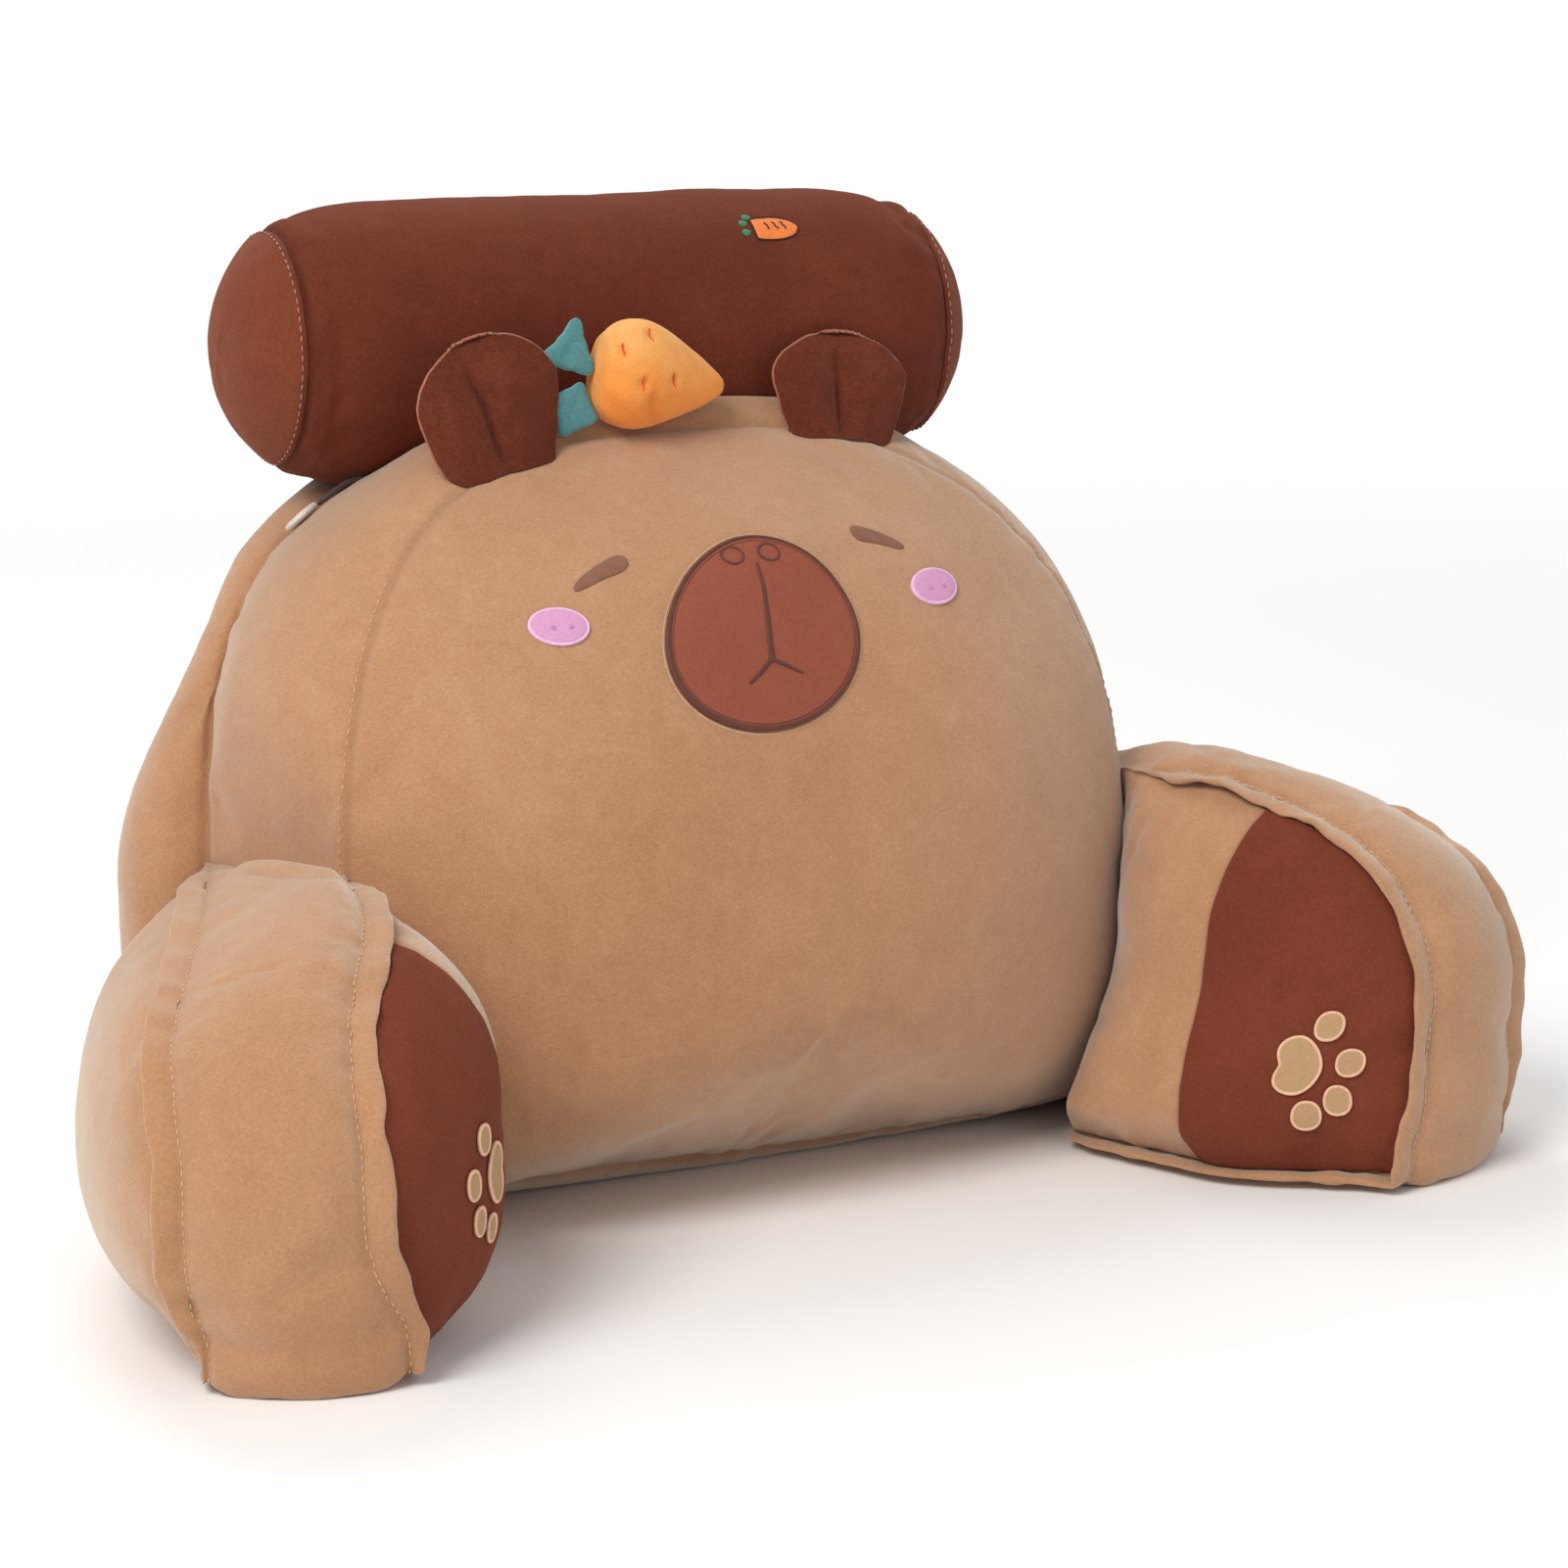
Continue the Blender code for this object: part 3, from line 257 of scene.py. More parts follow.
def add_surroundings():
    """A pale sky for the light, which the camera sees as plain white."""
    world = bpy.data.worlds.new("studio")
    look = Nodes(world)
    sky = look.tree.nodes["Background"]
    look.fill(sky, {"Color": (0.97, 0.98, 1.0, 1.0), "Strength": WORLD_STRENGTH})
    white = look.add("Background", {"Color": (1.0, 1.0, 1.0, 1.0)})
    seen = look.add("LightPath").outputs["Is Camera Ray"]
    either = look.add("MixShader", {0: seen, 1: sky.outputs[0], 2: white.outputs[0]})
    look.fill(look.tree.nodes["World Output"], {"Surface": either.outputs[0]})
    bpy.context.scene.world = world
    bpy.context.scene.view_settings.view_transform = "Standard"


def add_floor():
    mesh = bmesh.new()
    bmesh.ops.create_circle(mesh, cap_ends=True, radius=FLOOR_RADIUS, segments=64)
    data = bpy.data.meshes.new("floor")
    mesh.to_mesh(data)
    mesh.free()
    floor = link(bpy.data.objects.new("floor", data))
    look = material("floor")
    reach = look.add("VectorMath", {0: look.place}, operation="LENGTH").outputs["Value"]
    alpha = look.fade(reach, *FLOOR_FADE, {"To Min": 1.0, "To Max": 0.0})
    look.fill(look.shader, {"Base Color": (0.93, 0.93, 0.925, 1.0), "Roughness": 0.85, "Alpha": alpha})
    data.materials.append(look.made)


# ---------------------------------------- materials
class Nodes:
    """Short calls for building a node tree."""

    def __init__(self, made):
        made.use_nodes = True
        self.made = made
        self.tree = made.node_tree

    def link(self, source, socket):
        if isinstance(source, (int, float, tuple)):
            socket.default_value = source
        else:
            self.tree.links.new(source, socket)

    def fill(self, node, inputs):
        for socket, source in inputs.items():
            self.link(source, node.inputs[socket])

    def add(self, kind, inputs=None, **settings):
        node = self.tree.nodes.new(f"ShaderNode{kind}")
        for name, value in settings.items():
            setattr(node, name, value)
        self.fill(node, inputs or {})
        return node

    def noise(self, scale, detail=2.0, roughness=0.5, distortion=0.0, place=None):
        inputs = {"Scale": scale, "Detail": detail, "Roughness": roughness, "Distortion": distortion}
        return self.add("TexNoise", {**inputs, "Vector": place or self.place}).outputs["Fac"]

    def sum(self, first, second, kind="ADD"):
        return self.add("Math", {0: first, 1: second}, operation=kind).outputs[0]

    def weighed(self, terms):
        """A half plus each term's swing round a half, times its weight."""
        total = 0.5
        for term, weight in terms:
            total = self.sum(self.sum(self.sum(term, 0.5, "SUBTRACT"), weight, "MULTIPLY"), total)
        return total

    def ramp(self, value, stops):
        node = self.add("ValToRGB", {"Fac": value})
        elements = node.color_ramp.elements
        for element, (position, colour) in zip(elements, (stops[0], stops[-1])):
            element.position = position
            element.color = (*colour, 1.0)
        for position, colour in stops[1:-1]:
            elements.new(position).color = (*colour, 1.0)
        return node.outputs["Color"]

    def mix(self, share, first, second):
        colours = [(*source, 1.0) if isinstance(source, tuple) else source for source in (first, second)]
        inputs = {"Factor": share, 6: colours[0], 7: colours[1]}
        return self.add("Mix", inputs, data_type="RGBA").outputs[2]

    def fade(self, value, low, high, more=None):
        inputs = {"Value": value, "From Min": low, "From Max": high, **(more or {})}
        return self.add("MapRange", inputs, interpolation_type="SMOOTHSTEP").outputs["Result"]

    def folds(self):
        """The painted shade in folds and seams at a place, from 0 to 1, read from the fold attribute."""
        return self.add("Attribute", attribute_name="fold").outputs["Fac"]

    def bump(self, height, strength, distance):
        node = self.add("Bump", {"Strength": strength, "Distance": distance, "Height": height})
        self.fill(self.shader, {"Normal": node.outputs["Normal"]})


def material(name):
    look = Nodes(bpy.data.materials.new(name))
    look.shader = look.tree.nodes["Principled BSDF"]
    look.place = look.add("TexCoord").outputs["Object"]
    return look


def scaled(colour, by):
    return tuple(channel * by for channel in colour)


def srgb(code):
    """A linear colour from its screen code."""
    channels = [int(code[i:i + 2], 16) / 255.0 for i in (0, 2, 4)]
    return tuple(c / 12.92 if c <= 0.04045 else ((c + 0.055) / 1.055) ** 2.4 for c in channels)


VELVET = {"Roughness": 0.95, "Specular IOR Level": 0.12}
PILE_HEIGHT = 0.0010


def plush(name, codes, sheen, tint=None, mottle=1.0):
    """Short-pile plush: brushed patches, fine pile grain, painted shade in its folds and seams, and a soft
    sheen.

    codes are the colours of its darkest patches, of the cloth and of its palest patches, which also tint the
    sheen unless tint is given; a darker copy of the first is the painted shade in its folds and seams, and
    mottle is how patchy it is.
    """
    deep, base, light = [srgb(code) for code in codes.split()]
    look = material(name)
    broad = look.noise(6.0, 2.0, 0.5, 0.4)
    strokes = look.add("Mapping", {"Scale": (38.0, 38.0, 22.0), "Rotation": (0.35, 0.2, 0.5),
                                   "Vector": look.place}).outputs["Vector"]
    brushed = look.noise(1.0, 4.0, 0.62, 0.9, strokes)
    patches = look.noise(105.0, 3.0, 0.6)
    pile = look.noise(720.0, 2.0, 0.7)
    hair = look.noise(1900.0, 1.0, 0.6)
    tone = look.weighed(((broad, 0.34 * mottle), (brushed, 0.20 * mottle), (patches, 0.14 * mottle),
                         (pile, 0.44), (hair, 0.22)))
    colour = look.ramp(tone, ((0.12, deep), (0.5, base), (0.90, light)))
    # the fold attribute mixes in a darker colour here: painted shade in folds and seams
    look.fill(look.shader, {**VELVET, "Base Color": look.mix(look.folds(), colour, scaled(deep, 0.62)),
                            "Sheen Weight": sheen, "Sheen Roughness": 0.5,
                            "Sheen Tint": (*(tint or light), 1.0)})
    look.bump(look.weighed(((pile, 0.8), (hair, 0.5), (patches, 0.3), (brushed, 0.3))), 0.5, PILE_HEIGHT)
    return look.made


# the carrot's tones low down, then the paler, less saturated ones that paint the light falling on its upper
# side
CARROT_TONES_PAINTED_LIT_ABOVE = (
    (srgb("E67A2C"), srgb("F39443"), srgb("FAAC60")),
    (srgb("DC9146"), srgb("E9A65C"), srgb("F3C082")),
)


def plush_painted_lit_above(name, tones, low, high):
    """Plush that goes from one set of tones at a low height to another at a high one: the higher tones are
    painted light on its upper side.
    """
    look = material(name)
    patches = look.noise(60.0, 3.0, 0.6)
    pile = look.noise(720.0, 2.0, 0.7)
    tone = look.weighed(((patches, 0.5), (pile, 0.5)))
    lower, upper = [look.ramp(tone, tuple(zip((0.12, 0.5, 0.9), row))) for row in tones]
    height = look.fade(look.add("SeparateXYZ", {0: look.place}).outputs["Z"], low, high)
    # paler tones higher up: painted light on the carrot's upper side
    colour = look.mix(look.weighed(((patches, 0.35), (height, 1.0))), lower, upper)
    # the fold attribute mixes in a darker colour here: painted shade in folds and seams
    look.fill(look.shader, {**VELVET, "Base Color": look.mix(look.folds(), colour, scaled(tones[0][0], 0.8)),
                            "Sheen Weight": 0.3, "Sheen Tint": (1.0, 0.85, 0.6, 1.0)})
    look.bump(look.weighed(((patches, 0.5), (pile, 0.8))), 0.5, PILE_HEIGHT)
    return look.made


def thread(name, code, sheen=0.2, roughness=0.6):
    """Embroidery or sewing thread: fine strands with a low gloss."""
    look = material(name)
    base = srgb(code)
    strands = look.noise(900.0, 2.0, 0.6)
    tone = look.weighed(((strands, 0.7), (look.noise(160.0), 0.6)))
    colour = look.ramp(tone, ((0.15, scaled(base, 0.68)), (0.5, base), (0.9, scaled(base, 1.22))))
    look.fill(look.shader, {"Base Color": colour, "Roughness": roughness, "Specular IOR Level": 0.3,
                            "Sheen Weight": sheen})
    look.bump(strands, 0.4, 0.0004)
    return look.made


# ---------------------------------------- small helpers
def smooth(low, high, value):
    """Rise gently from 0 at low to 1 at high."""
    share = min(1.0, max(0.0, (value - low) / (high - low)))
    return share * share * (3.0 - 2.0 * share)


def fall(low, high, value):
    """Fall gently from 1 at low to 0 at high."""
    return 1.0 - smooth(low, high, value)


def spaced(steps, crowding=0.55):
    """Numbers from 0 to 1 that lie closer together at both ends."""
    return [t / steps - crowding * sin(2.0 * pi * t / steps) / (2.0 * pi)
            for t in range(steps + 1)]


def even(steps):
    return [t / steps for t in range(steps + 1)]


def turns(steps):
    """Angles once round, with both ends."""
    return [2.0 * pi * k / steps for k in range(steps + 1)]


def wander(value, seed):
    """Smooth noise of one number, from about -1 to 1."""
    return noise.noise(Vector((value, 7.31 * seed, 1.0)))


def packed_middle(node):
    """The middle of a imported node's box, with its depth counted as here."""
    low, high = (Vector(corner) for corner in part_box(node))
    return (low + high) / 2.0 + Vector((0.0, DEPTH_TO_MIDDLE, 0.0))


def close_skin(name, mesh, paint, weld=0.0):
    """Make a piece of a mesh, with its skin welded and facing outwards, and place it."""
    bmesh.ops.remove_doubles(mesh, verts=mesh.verts, dist=weld)
    bmesh.ops.recalc_face_normals(mesh, faces=mesh.faces)
    if mesh.calc_volume(signed=True) < 0.0:
        bmesh.ops.reverse_faces(mesh, faces=mesh.faces)
    data = bpy.data.meshes.new(name)
    mesh.to_mesh(data)
    mesh.free()
    data.shade_smooth()
    data.materials.append(paint)
    piece = link(bpy.data.objects.new(name, data))
    piece.location.y = -DEPTH_TO_MIDDLE
    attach(piece, "root")
    return piece


PATCH_WELD = 0.00002


def add_patch(mesh, point, across, up):
    """A grid of faces; point(a, b) gives a place, or a place and how firmly a seam holds it."""
    pin = mesh.verts.layers.float.get("pin") or mesh.verts.layers.float.new("pin")
    grid = []
    for b in up:
        line = []
        for a in across:
            place = point(a, b)
            held = 0.0
            if isinstance(place, tuple):
                place, held = place
            vertex = mesh.verts.new(place)
            vertex[pin] = held
            line.append(vertex)
        grid.append(line)
    for low, high in zip(grid, grid[1:]):
        for column in range(len(low) - 1):
            mesh.faces.new((low[column], low[column + 1], high[column + 1], high[column]))


def patched(name, slot, paint, *patches):
    """A closed piece of patches, each given by its places and its steps across and up."""
    mesh = bmesh.new()
    for patch in patches:
        add_patch(mesh, *patch)
    return close_skin(name, mesh, paint, PATCH_WELD)


def coordinates(data):
    places = np.empty(len(data.vertices) * 3)
    data.vertices.foreach_get("co", places)
    return places.reshape(-1, 3)


def refine(piece):
    """Subdivide a piece once and keep the result as its mesh."""
    rounding = piece.modifiers.new("rounding", "SUBSURF")
    rounding.levels = 1
    shaped = piece.evaluated_get(bpy.context.evaluated_depsgraph_get())
    data = bpy.data.meshes.new_from_object(shaped)
    piece.modifiers.remove(rounding)
    piece.data = data
    data.shade_smooth()


SETTLE_FRAMES = 14
CLOTH = {"quality": 4, "mass": 0.3, "tension_stiffness": 14.0, "compression_stiffness": 10.0,
         "shear_stiffness": 4.0, "bending_stiffness": 0.35, "use_pressure": True, "vertex_group_mass": "held"}


def settle(piece, pressure, growth, cap):
    """Let the stuffing press a piece's cloth out between its seams, by no more than cap."""
    data = piece.data
    held = piece.vertex_groups.new(name="held")
    weights = np.empty(len(data.vertices))
    data.attributes["pin"].data.foreach_get("value", weights)
    for share in (0.25, 0.5, 0.75, 1.0):
        chosen = np.nonzero(np.abs(weights - share) < 0.126)[0]
        if len(chosen):
            held.add(chosen.tolist(), share, "REPLACE")
    before = coordinates(data)
    cloth = piece.modifiers.new("cloth", "CLOTH")
    for name, value in CLOTH.items():
        setattr(cloth.settings, name, value)
    cloth.settings.uniform_pressure_force = pressure
    cloth.settings.shrink_min = -growth
    cloth.settings.effector_weights.gravity = 0.0
    cloth.collision_settings.use_collision = False
    cloth.point_cache.frame_start = 1
    cloth.point_cache.frame_end = SETTLE_FRAMES
    scene = bpy.context.scene
    for step in range(1, SETTLE_FRAMES + 1):
        scene.frame_set(step)
    shaped = piece.evaluated_get(bpy.context.evaluated_depsgraph_get())
    after = coordinates(shaped.data)
    piece.modifiers.remove(cloth)
    scene.frame_set(1)
    move = after - before
    size = np.linalg.norm(move, axis=1, keepdims=True)
    move *= cap * np.tanh(size / cap) / np.maximum(size, 1e-9)
    data.vertices.foreach_set("co", (before + move).ravel())
    piece.vertex_groups.clear()
    data.update()


def resampled(path, step, closed=False):
    """Points along a path, evenly step apart, and its length."""
    points = [Vector(p) for p in path]
    if closed:
        points.append(points[0])
    lengths = [(b - a).length for a, b in zip(points, points[1:])]
    total = sum(lengths)
    count = max(2, round(total / step))
    result = []
    index = 0
    passed = 0.0
    for k in range(count + (0 if closed else 1)):
        goal = total * k / count
        while index < len(lengths) - 1 and passed + lengths[index] < goal:
            passed += lengths[index]
            index += 1
        share = (goal - passed) / max(lengths[index], 1e-9)
        result.append(points[index].lerp(points[index + 1], min(1.0, share)))
    return result, total


# Each line also sets how much painted shade darkens its groove, from 0 to 1.
def seam_line(path, depth=0.0012, width=0.0022, ripple=0.0, reach=0.012, pitch=0.011, taper=False,
              painted_shade=0.45, seed=1):
    return {"path": path, "depth": depth, "width": width, "ripple": ripple, "reach": reach,
            "pitch": pitch, "taper": taper, "painted_shade": painted_shade, "seed": seed}


def relief(piece, lines, lumps, seed, floor=True, keep=None):
    """Press seams and folds into a piece, with puckers beside them and the stuffing's soft lumps, and paint
    shade into their grooves.

    A line with a negative depth is a ridge. keep(place) may correct a place afterwards.
    """
    data = piece.data
    count = len(data.vertices)
    normals = np.empty(count * 3)
    data.vertices.foreach_get("normal", normals)
    normals = normals.reshape(-1, 3)
    places = coordinates(data)
    lift = np.zeros(count)
    fold = np.zeros(count)
    offset = Vector((seed * 3.1, seed * 1.7, 0.0))
    for i, place in enumerate(places):
        spot = Vector(place)
        lift[i] = lumps * (0.75 * noise.noise(spot * 13.0 + offset) + 0.4 * noise.noise(spot * 31.0 + offset))
        lift[i] += 0.00022 * noise.noise(spot * 95.0 + offset)
    for line in lines:
        points, total = resampled(line["path"], 0.0015)
        tree = KDTree(len(points))
        for k, point in enumerate(points):
            tree.insert(point, k)
        tree.balance()
        span = max(line["width"] * 2.6, line["reach"] * 2.0 if line["ripple"] else 0.0)
        low = np.min(np.array(points), axis=0) - span
        high = np.max(np.array(points), axis=0) + span
        near = np.nonzero(((places > low) & (places < high)).all(axis=1))[0]
        for i in near:
            _, k, gap = tree.find(places[i])
            if gap > span:
                continue
            along = k / (len(points) - 1)
            ends = sin(pi * along) ** 0.7 if line["taper"] else 1.0
            groove = exp(-(gap / line["width"]) ** 2) * ends
            lift[i] -= line["depth"] * groove
            # painted shade along the groove
            fold[i] = max(fold[i], line["painted_shade"] * groove)
            if line["ripple"]:
                wave = wander(along * total / line["pitch"], line["seed"])
                fade = exp(-(gap / line["reach"]) ** 2) * (1.0 - 0.6 * exp(-(gap / 0.002) ** 2))
                lift[i] += line["ripple"] * wave * fade * ends
    places += normals * lift[:, None]
    if floor:
        places[:, 2] = np.maximum(places[:, 2], 0.0)
    if keep:
        for i in range(count):
            places[i] = keep(Vector(places[i]))
    data.vertices.foreach_set("co", places.ravel())
    # the painted shade is kept as the fold attribute, which the plush looks darken by
    shade = data.attributes.get("fold") or data.attributes.new("fold", "FLOAT", "POINT")
    shade.data.foreach_set("value", fold)
    data.update()


def surface_tree(piece):
    mesh = bmesh.new()
    mesh.from_mesh(piece.data)
    tree = BVHTree.FromBMesh(mesh)
    mesh.free()
    return tree


def nearest(tree, place):
    """The nearest place on a surface and the direction out of it."""
    return tree.find_nearest(place)[:2]


def join_rings(mesh, rings, closed=False):
    """Faces from each ring of corners to the next, and over both ends unless they meet."""
    size = len(rings[0])
    for low, high in zip(rings, rings[1:] + (rings[:1] if closed else [])):
        for k in range(size):
            mesh.faces.new((low[k], low[(k + 1) % size], high[(k + 1) % size], high[k]))
    if not closed:
        mesh.faces.new(rings[0])
        mesh.faces.new(list(reversed(rings[-1])))


def add_capsule(mesh, centre, along, out, half_length, radius, flat=0.8, sides=6):
    """One stitch: a short rounded bar."""
    aside = along.cross(out).normalized()
    rings = []
    for share, size in ((-1.0, 0.35), (-0.7, 0.9), (0.0, 1.0), (0.7, 0.9), (1.0, 0.35)):
        ring = []
        for turn in turns(sides)[:-1]:
            spoke = aside * cos(turn) + out * sin(turn) * flat
            ring.append(mesh.verts.new(centre + along * share * half_length + spoke * radius * size))
        rings.append(ring)
    join_rings(mesh, rings)


def sew(name, runs, tree, paint, pitch=0.0042, length=0.0027, radius=0.00042, seed=3):
    """Rows of topstitches along paths on a surface."""
    chance = random.Random(seed)
    mesh = bmesh.new()
    for path in runs:
        points, _ = resampled(path, pitch)
        for before, after in zip(points, points[1:]):
            centre, out = nearest(tree, before.lerp(after, 0.5))
            along = (after - before).normalized()
            along = (along - out * along.dot(out)).normalized()
            along = (along + along.cross(out) * chance.uniform(-0.10, 0.10)).normalized()
            add_capsule(mesh, centre + out * radius * 0.6, along, out,
                        0.5 * length * chance.uniform(0.9, 1.1), radius)
    return close_skin(name, mesh, paint)


SATIN_STEP = 0.00045        # from thread to thread of a satin line
FILL_STEP = 0.0005          # and of a filled shape


def satin_path(mesh, path, tree, width, height, closed=False, taper=False, bury=0.0):
    """A line of satin stitch: a low ridge whose threads lie across it.

    width may be a function of the share along the path.
    """
    points, _ = resampled(path, SATIN_STEP, closed)
    count = len(points)
    rings = []
    for k, point in enumerate(points):
        after = points[(k + 1) % count] if closed or k + 1 < count else point
        before = points[k - 1] if closed or k > 0 else point
        centre, out = nearest(tree, point)
        aside = (after - before).normalized().cross(out).normalized()
        share = k / max(1, count - 1)
        half = 0.5 * (width(share) if callable(width) else width)
        if taper:
            half *= max(0.12, sin(pi * share) ** 0.4)
        lift = height * (1.0 if k % 2 else 0.80)
        ring = []
        for across in (-1.0, -0.86, -0.5, 0.0, 0.5, 0.86, 1.0):
            top = lift * sqrt(max(0.0, 1.0 - across * across))
            foot, _ = nearest(tree, centre + aside * across * half)
            ring.append(mesh.verts.new(foot + out * (top + bury)))
        for across in (0.9, -0.9):
            ring.append(mesh.verts.new(centre + aside * half * across - out * 0.0004))
        rings.append(ring)
    join_rings(mesh, rings, closed)
    return mesh


def satin_fill(mesh, tree, spot, limits, start, stop, height):
    """A shape filled with satin stitch: spot(u, v) gives a place, limits(u) the thread's two ends."""
    count = max(3, round((stop - start) / FILL_STEP))
    rings = []
    for k in range(count + 1):
        u = start + (stop - start) * k / count
        low, high = limits(u)
        middle, out = nearest(tree, spot(u, 0.5 * (low + high)))
        lift = height * (1.0 if k % 2 else 0.82)
        ring = []
        for share in (0.0, 0.06, 0.25, 0.5, 0.75, 0.94, 1.0):
            foot, _ = nearest(tree, spot(u, low + (high - low) * share))
            arch = (1.0 - abs(2.0 * share - 1.0) ** 3.0) ** 0.5
            ring.append(mesh.verts.new(foot + out * lift * arch))
        rings.append(ring + [mesh.verts.new(middle - out * 0.0003)])
    join_rings(mesh, rings)
    return mesh


def sheet_skin(name, lay, thickness, across, up, slot, paint):
    """A closed sheet; lay(a, b, height) gives its places, and its edges are rolled down a little."""
    def top(a, b):
        drop = 1.0 - smooth(0.0, 0.035, min(a, b, 1.0 - a, 1.0 - b))
        return lay(a, b, thickness * (1.0 - 0.35 * drop))

    def wall(edge):
        return lambda a, b: lay(*edge(a), 0.0).lerp(top(*edge(a)), b)

    return patched(name, slot, paint, (lambda a, b: lay(a, b, 0.0), across, up), (top, across, up),
                   (wall(lambda t: (t, 0.0)), across, (0.0, 1.0)), (wall(lambda t: (1.0, t)), up, (0.0, 1.0)),
                   (wall(lambda t: (t, 1.0)), across, (0.0, 1.0)), (wall(lambda t: (0.0, t)), up, (0.0, 1.0)))


# ---------------------------------------- the back cushion
FACE = (FACE_HALF_WIDTH, FACE_TOP, DOME_POWER)
BACK = (BACK_HALF_WIDTH, BACK_TOP, BACK_DOME_POWER)


def outline_radius(angle, half_width, top, power):
    """Distance from a panel's centre to its seam, in a direction."""
    across = abs(cos(angle)) / half_width
    if sin(angle) >= 0.0:
        up = sin(angle) / (top - WIDEST_Z)
        return (across ** power + up ** power) ** (-1.0 / power)
    down = -sin(angle) / (WIDEST_Z - SEAM_FOOT)
    return (across ** FOOT_POWER + down ** FOOT_POWER) ** (-1.0 / FOOT_POWER)


def panel_place(panel, angle, share=1.0):
    """Across and up on a panel, at a share of the way from its centre to its seam."""
    reach = share * outline_radius(angle, *panel)
    return reach * cos(angle), WIDEST_Z + reach * sin(angle)


def outline_half_width(z, half_width, top, power):
    if z >= WIDEST_Z:
        share = (z - WIDEST_Z) / (top - WIDEST_Z)
    else:
        share = (WIDEST_Z - max(z, FOOT_SQUARE_Z)) / (WIDEST_Z - SEAM_FOOT)
        power = FOOT_POWER
    return half_width * max(0.0, 1.0 - share ** power) ** (1.0 / power)


def seam_y(x, z):
    """How far back the face panel's seam lies."""
    lean = -FORWARD_LEAN * z + TOP_SET_BACK * (z / FACE_TOP) ** 3
    bow = FOOT_BOW * (1.0 - (x / FACE_HALF_WIDTH) ** 2) * fall(0.0, WIDEST_Z, z)
    return lean + bow


def foot_lift(x, z):
    """The foot of the face panel's seam is drawn up towards the left."""
    return SEAM_FOOT_LIFT * smooth(0.06, -0.17, x) * fall(0.0, 0.07, z)


def face_crown(x, z, share):
    crown = FACE_CROWN * (1.0 - share ** FACE_CROWN_POWER)
    swell = FOREHEAD * exp(-((z - FOREHEAD_Z) / FACE_WAVE_HEIGHT) ** 2)
    swell -= MUZZLE_HOLLOW * exp(-((z - MUZZLE_Z) / FACE_WAVE_HEIGHT) ** 2)
    return crown + swell * exp(-(x / FACE_WAVE_WIDTH) ** 2) * (1.0 - share ** 6)


def square_to_round(a, b):
    """Turn a place in a square into a share of the radius and an angle."""
    across = 2.0 * a - 1.0
    up = 2.0 * b - 1.0
    if across == 0.0 and up == 0.0:
        return 0.0, 0.0
    if abs(across) >= abs(up):
        turn = pi / 4.0 * up / across
        return abs(across), turn if across > 0.0 else turn + pi
    turn = pi / 2.0 - pi / 4.0 * across / up
    return abs(up), turn if up > 0.0 else turn + pi


def bolster_axis():
    level = cos(BOLSTER_DROOP)
    return Vector((level * cos(BOLSTER_YAW), level * sin(BOLSTER_YAW), -sin(BOLSTER_DROOP)))


def bolster_radius(along):
    share = min(1.0, abs(along) / BOLSTER_HALF_LENGTH)
    draw = max(0.0, (share - BOLSTER_TAPER_START) / (1.0 - BOLSTER_TAPER_START))
    return BOLSTER_RADIUS - (BOLSTER_RADIUS - BOLSTER_SEAM_RADIUS) * draw ** BOLSTER_TAPER_POWER


def pressed(place):
    """Flatten the cushion on the floor and hollow it under the bolster."""
    place.z = max(place.z, 0.0)
    axis = bolster_axis()
    along = (place - BOLSTER_CENTRE).dot(axis)
    away = place - BOLSTER_CENTRE - axis * along
    if abs(along) < BOLSTER_HALF_LENGTH + BOLSTER_CAP_CROWN:
        keep = bolster_radius(along) + BOLSTER_BED_GAP
        if away.length < keep:
            place = BOLSTER_CENTRE + axis * along + away.normalized() * keep
    return place


def face_seam_point(angle):
    x, z = panel_place(FACE, angle)
    return Vector((x, seam_y(x, z), z + foot_lift(x, z)))


def back_seam_point(angle):
    x, z = panel_place(BACK, angle)
    return Vector((x, seam_y(x, z) + BOXING_DEPTH, z))


def face_point(a, b):
    share, angle = square_to_round(a, b)
    x, z = panel_place(FACE, angle, share)
    y = seam_y(x, z) - face_crown(x, z, share)
    return pressed(Vector((x, y, z + foot_lift(x, z) * share ** 4))), 1.0 if share > 0.999 else 0.0


def back_point(a, b):
    share, angle = square_to_round(a, b)
    seam = outline_radius(angle, *BACK)
    high = smooth(BACK_HIGH_FROM, BACK_HIGH_TO, WIDEST_Z + seam * sin(angle))
    swell = BACK_SWELL + (BACK_TOP_SWELL - BACK_SWELL) * high
    swell_depth = BACK_SWELL_DEPTH + (BACK_TOP_SWELL_DEPTH - BACK_SWELL_DEPTH) * high
    crown = BACK_CROWN + (BACK_TOP_CROWN - BACK_CROWN) * high
    if share > BACK_ROLL:
        turn = 0.5 * pi * (1.0 - share) / (1.0 - BACK_ROLL)
        reach = seam + swell * sin(turn)
        depth = swell_depth * (1.0 - cos(turn))
    else:
        turn = 0.5 * pi * (1.0 - share / BACK_ROLL)
        power = 2.0 / BACK_CROWN_POWER
        reach = (seam + swell) * max(0.0, cos(turn)) ** power
        depth = swell_depth + (crown - swell_depth) * sin(turn) ** power
    x = reach * cos(angle)
    z = WIDEST_Z + reach * sin(angle)
    y = seam_y(x, max(0.0, min(z, BACK_TOP))) + BOXING_DEPTH + depth
    return pressed(Vector((x, y, z))), 1.0 if share > 0.999 or z < 0.003 else 0.0


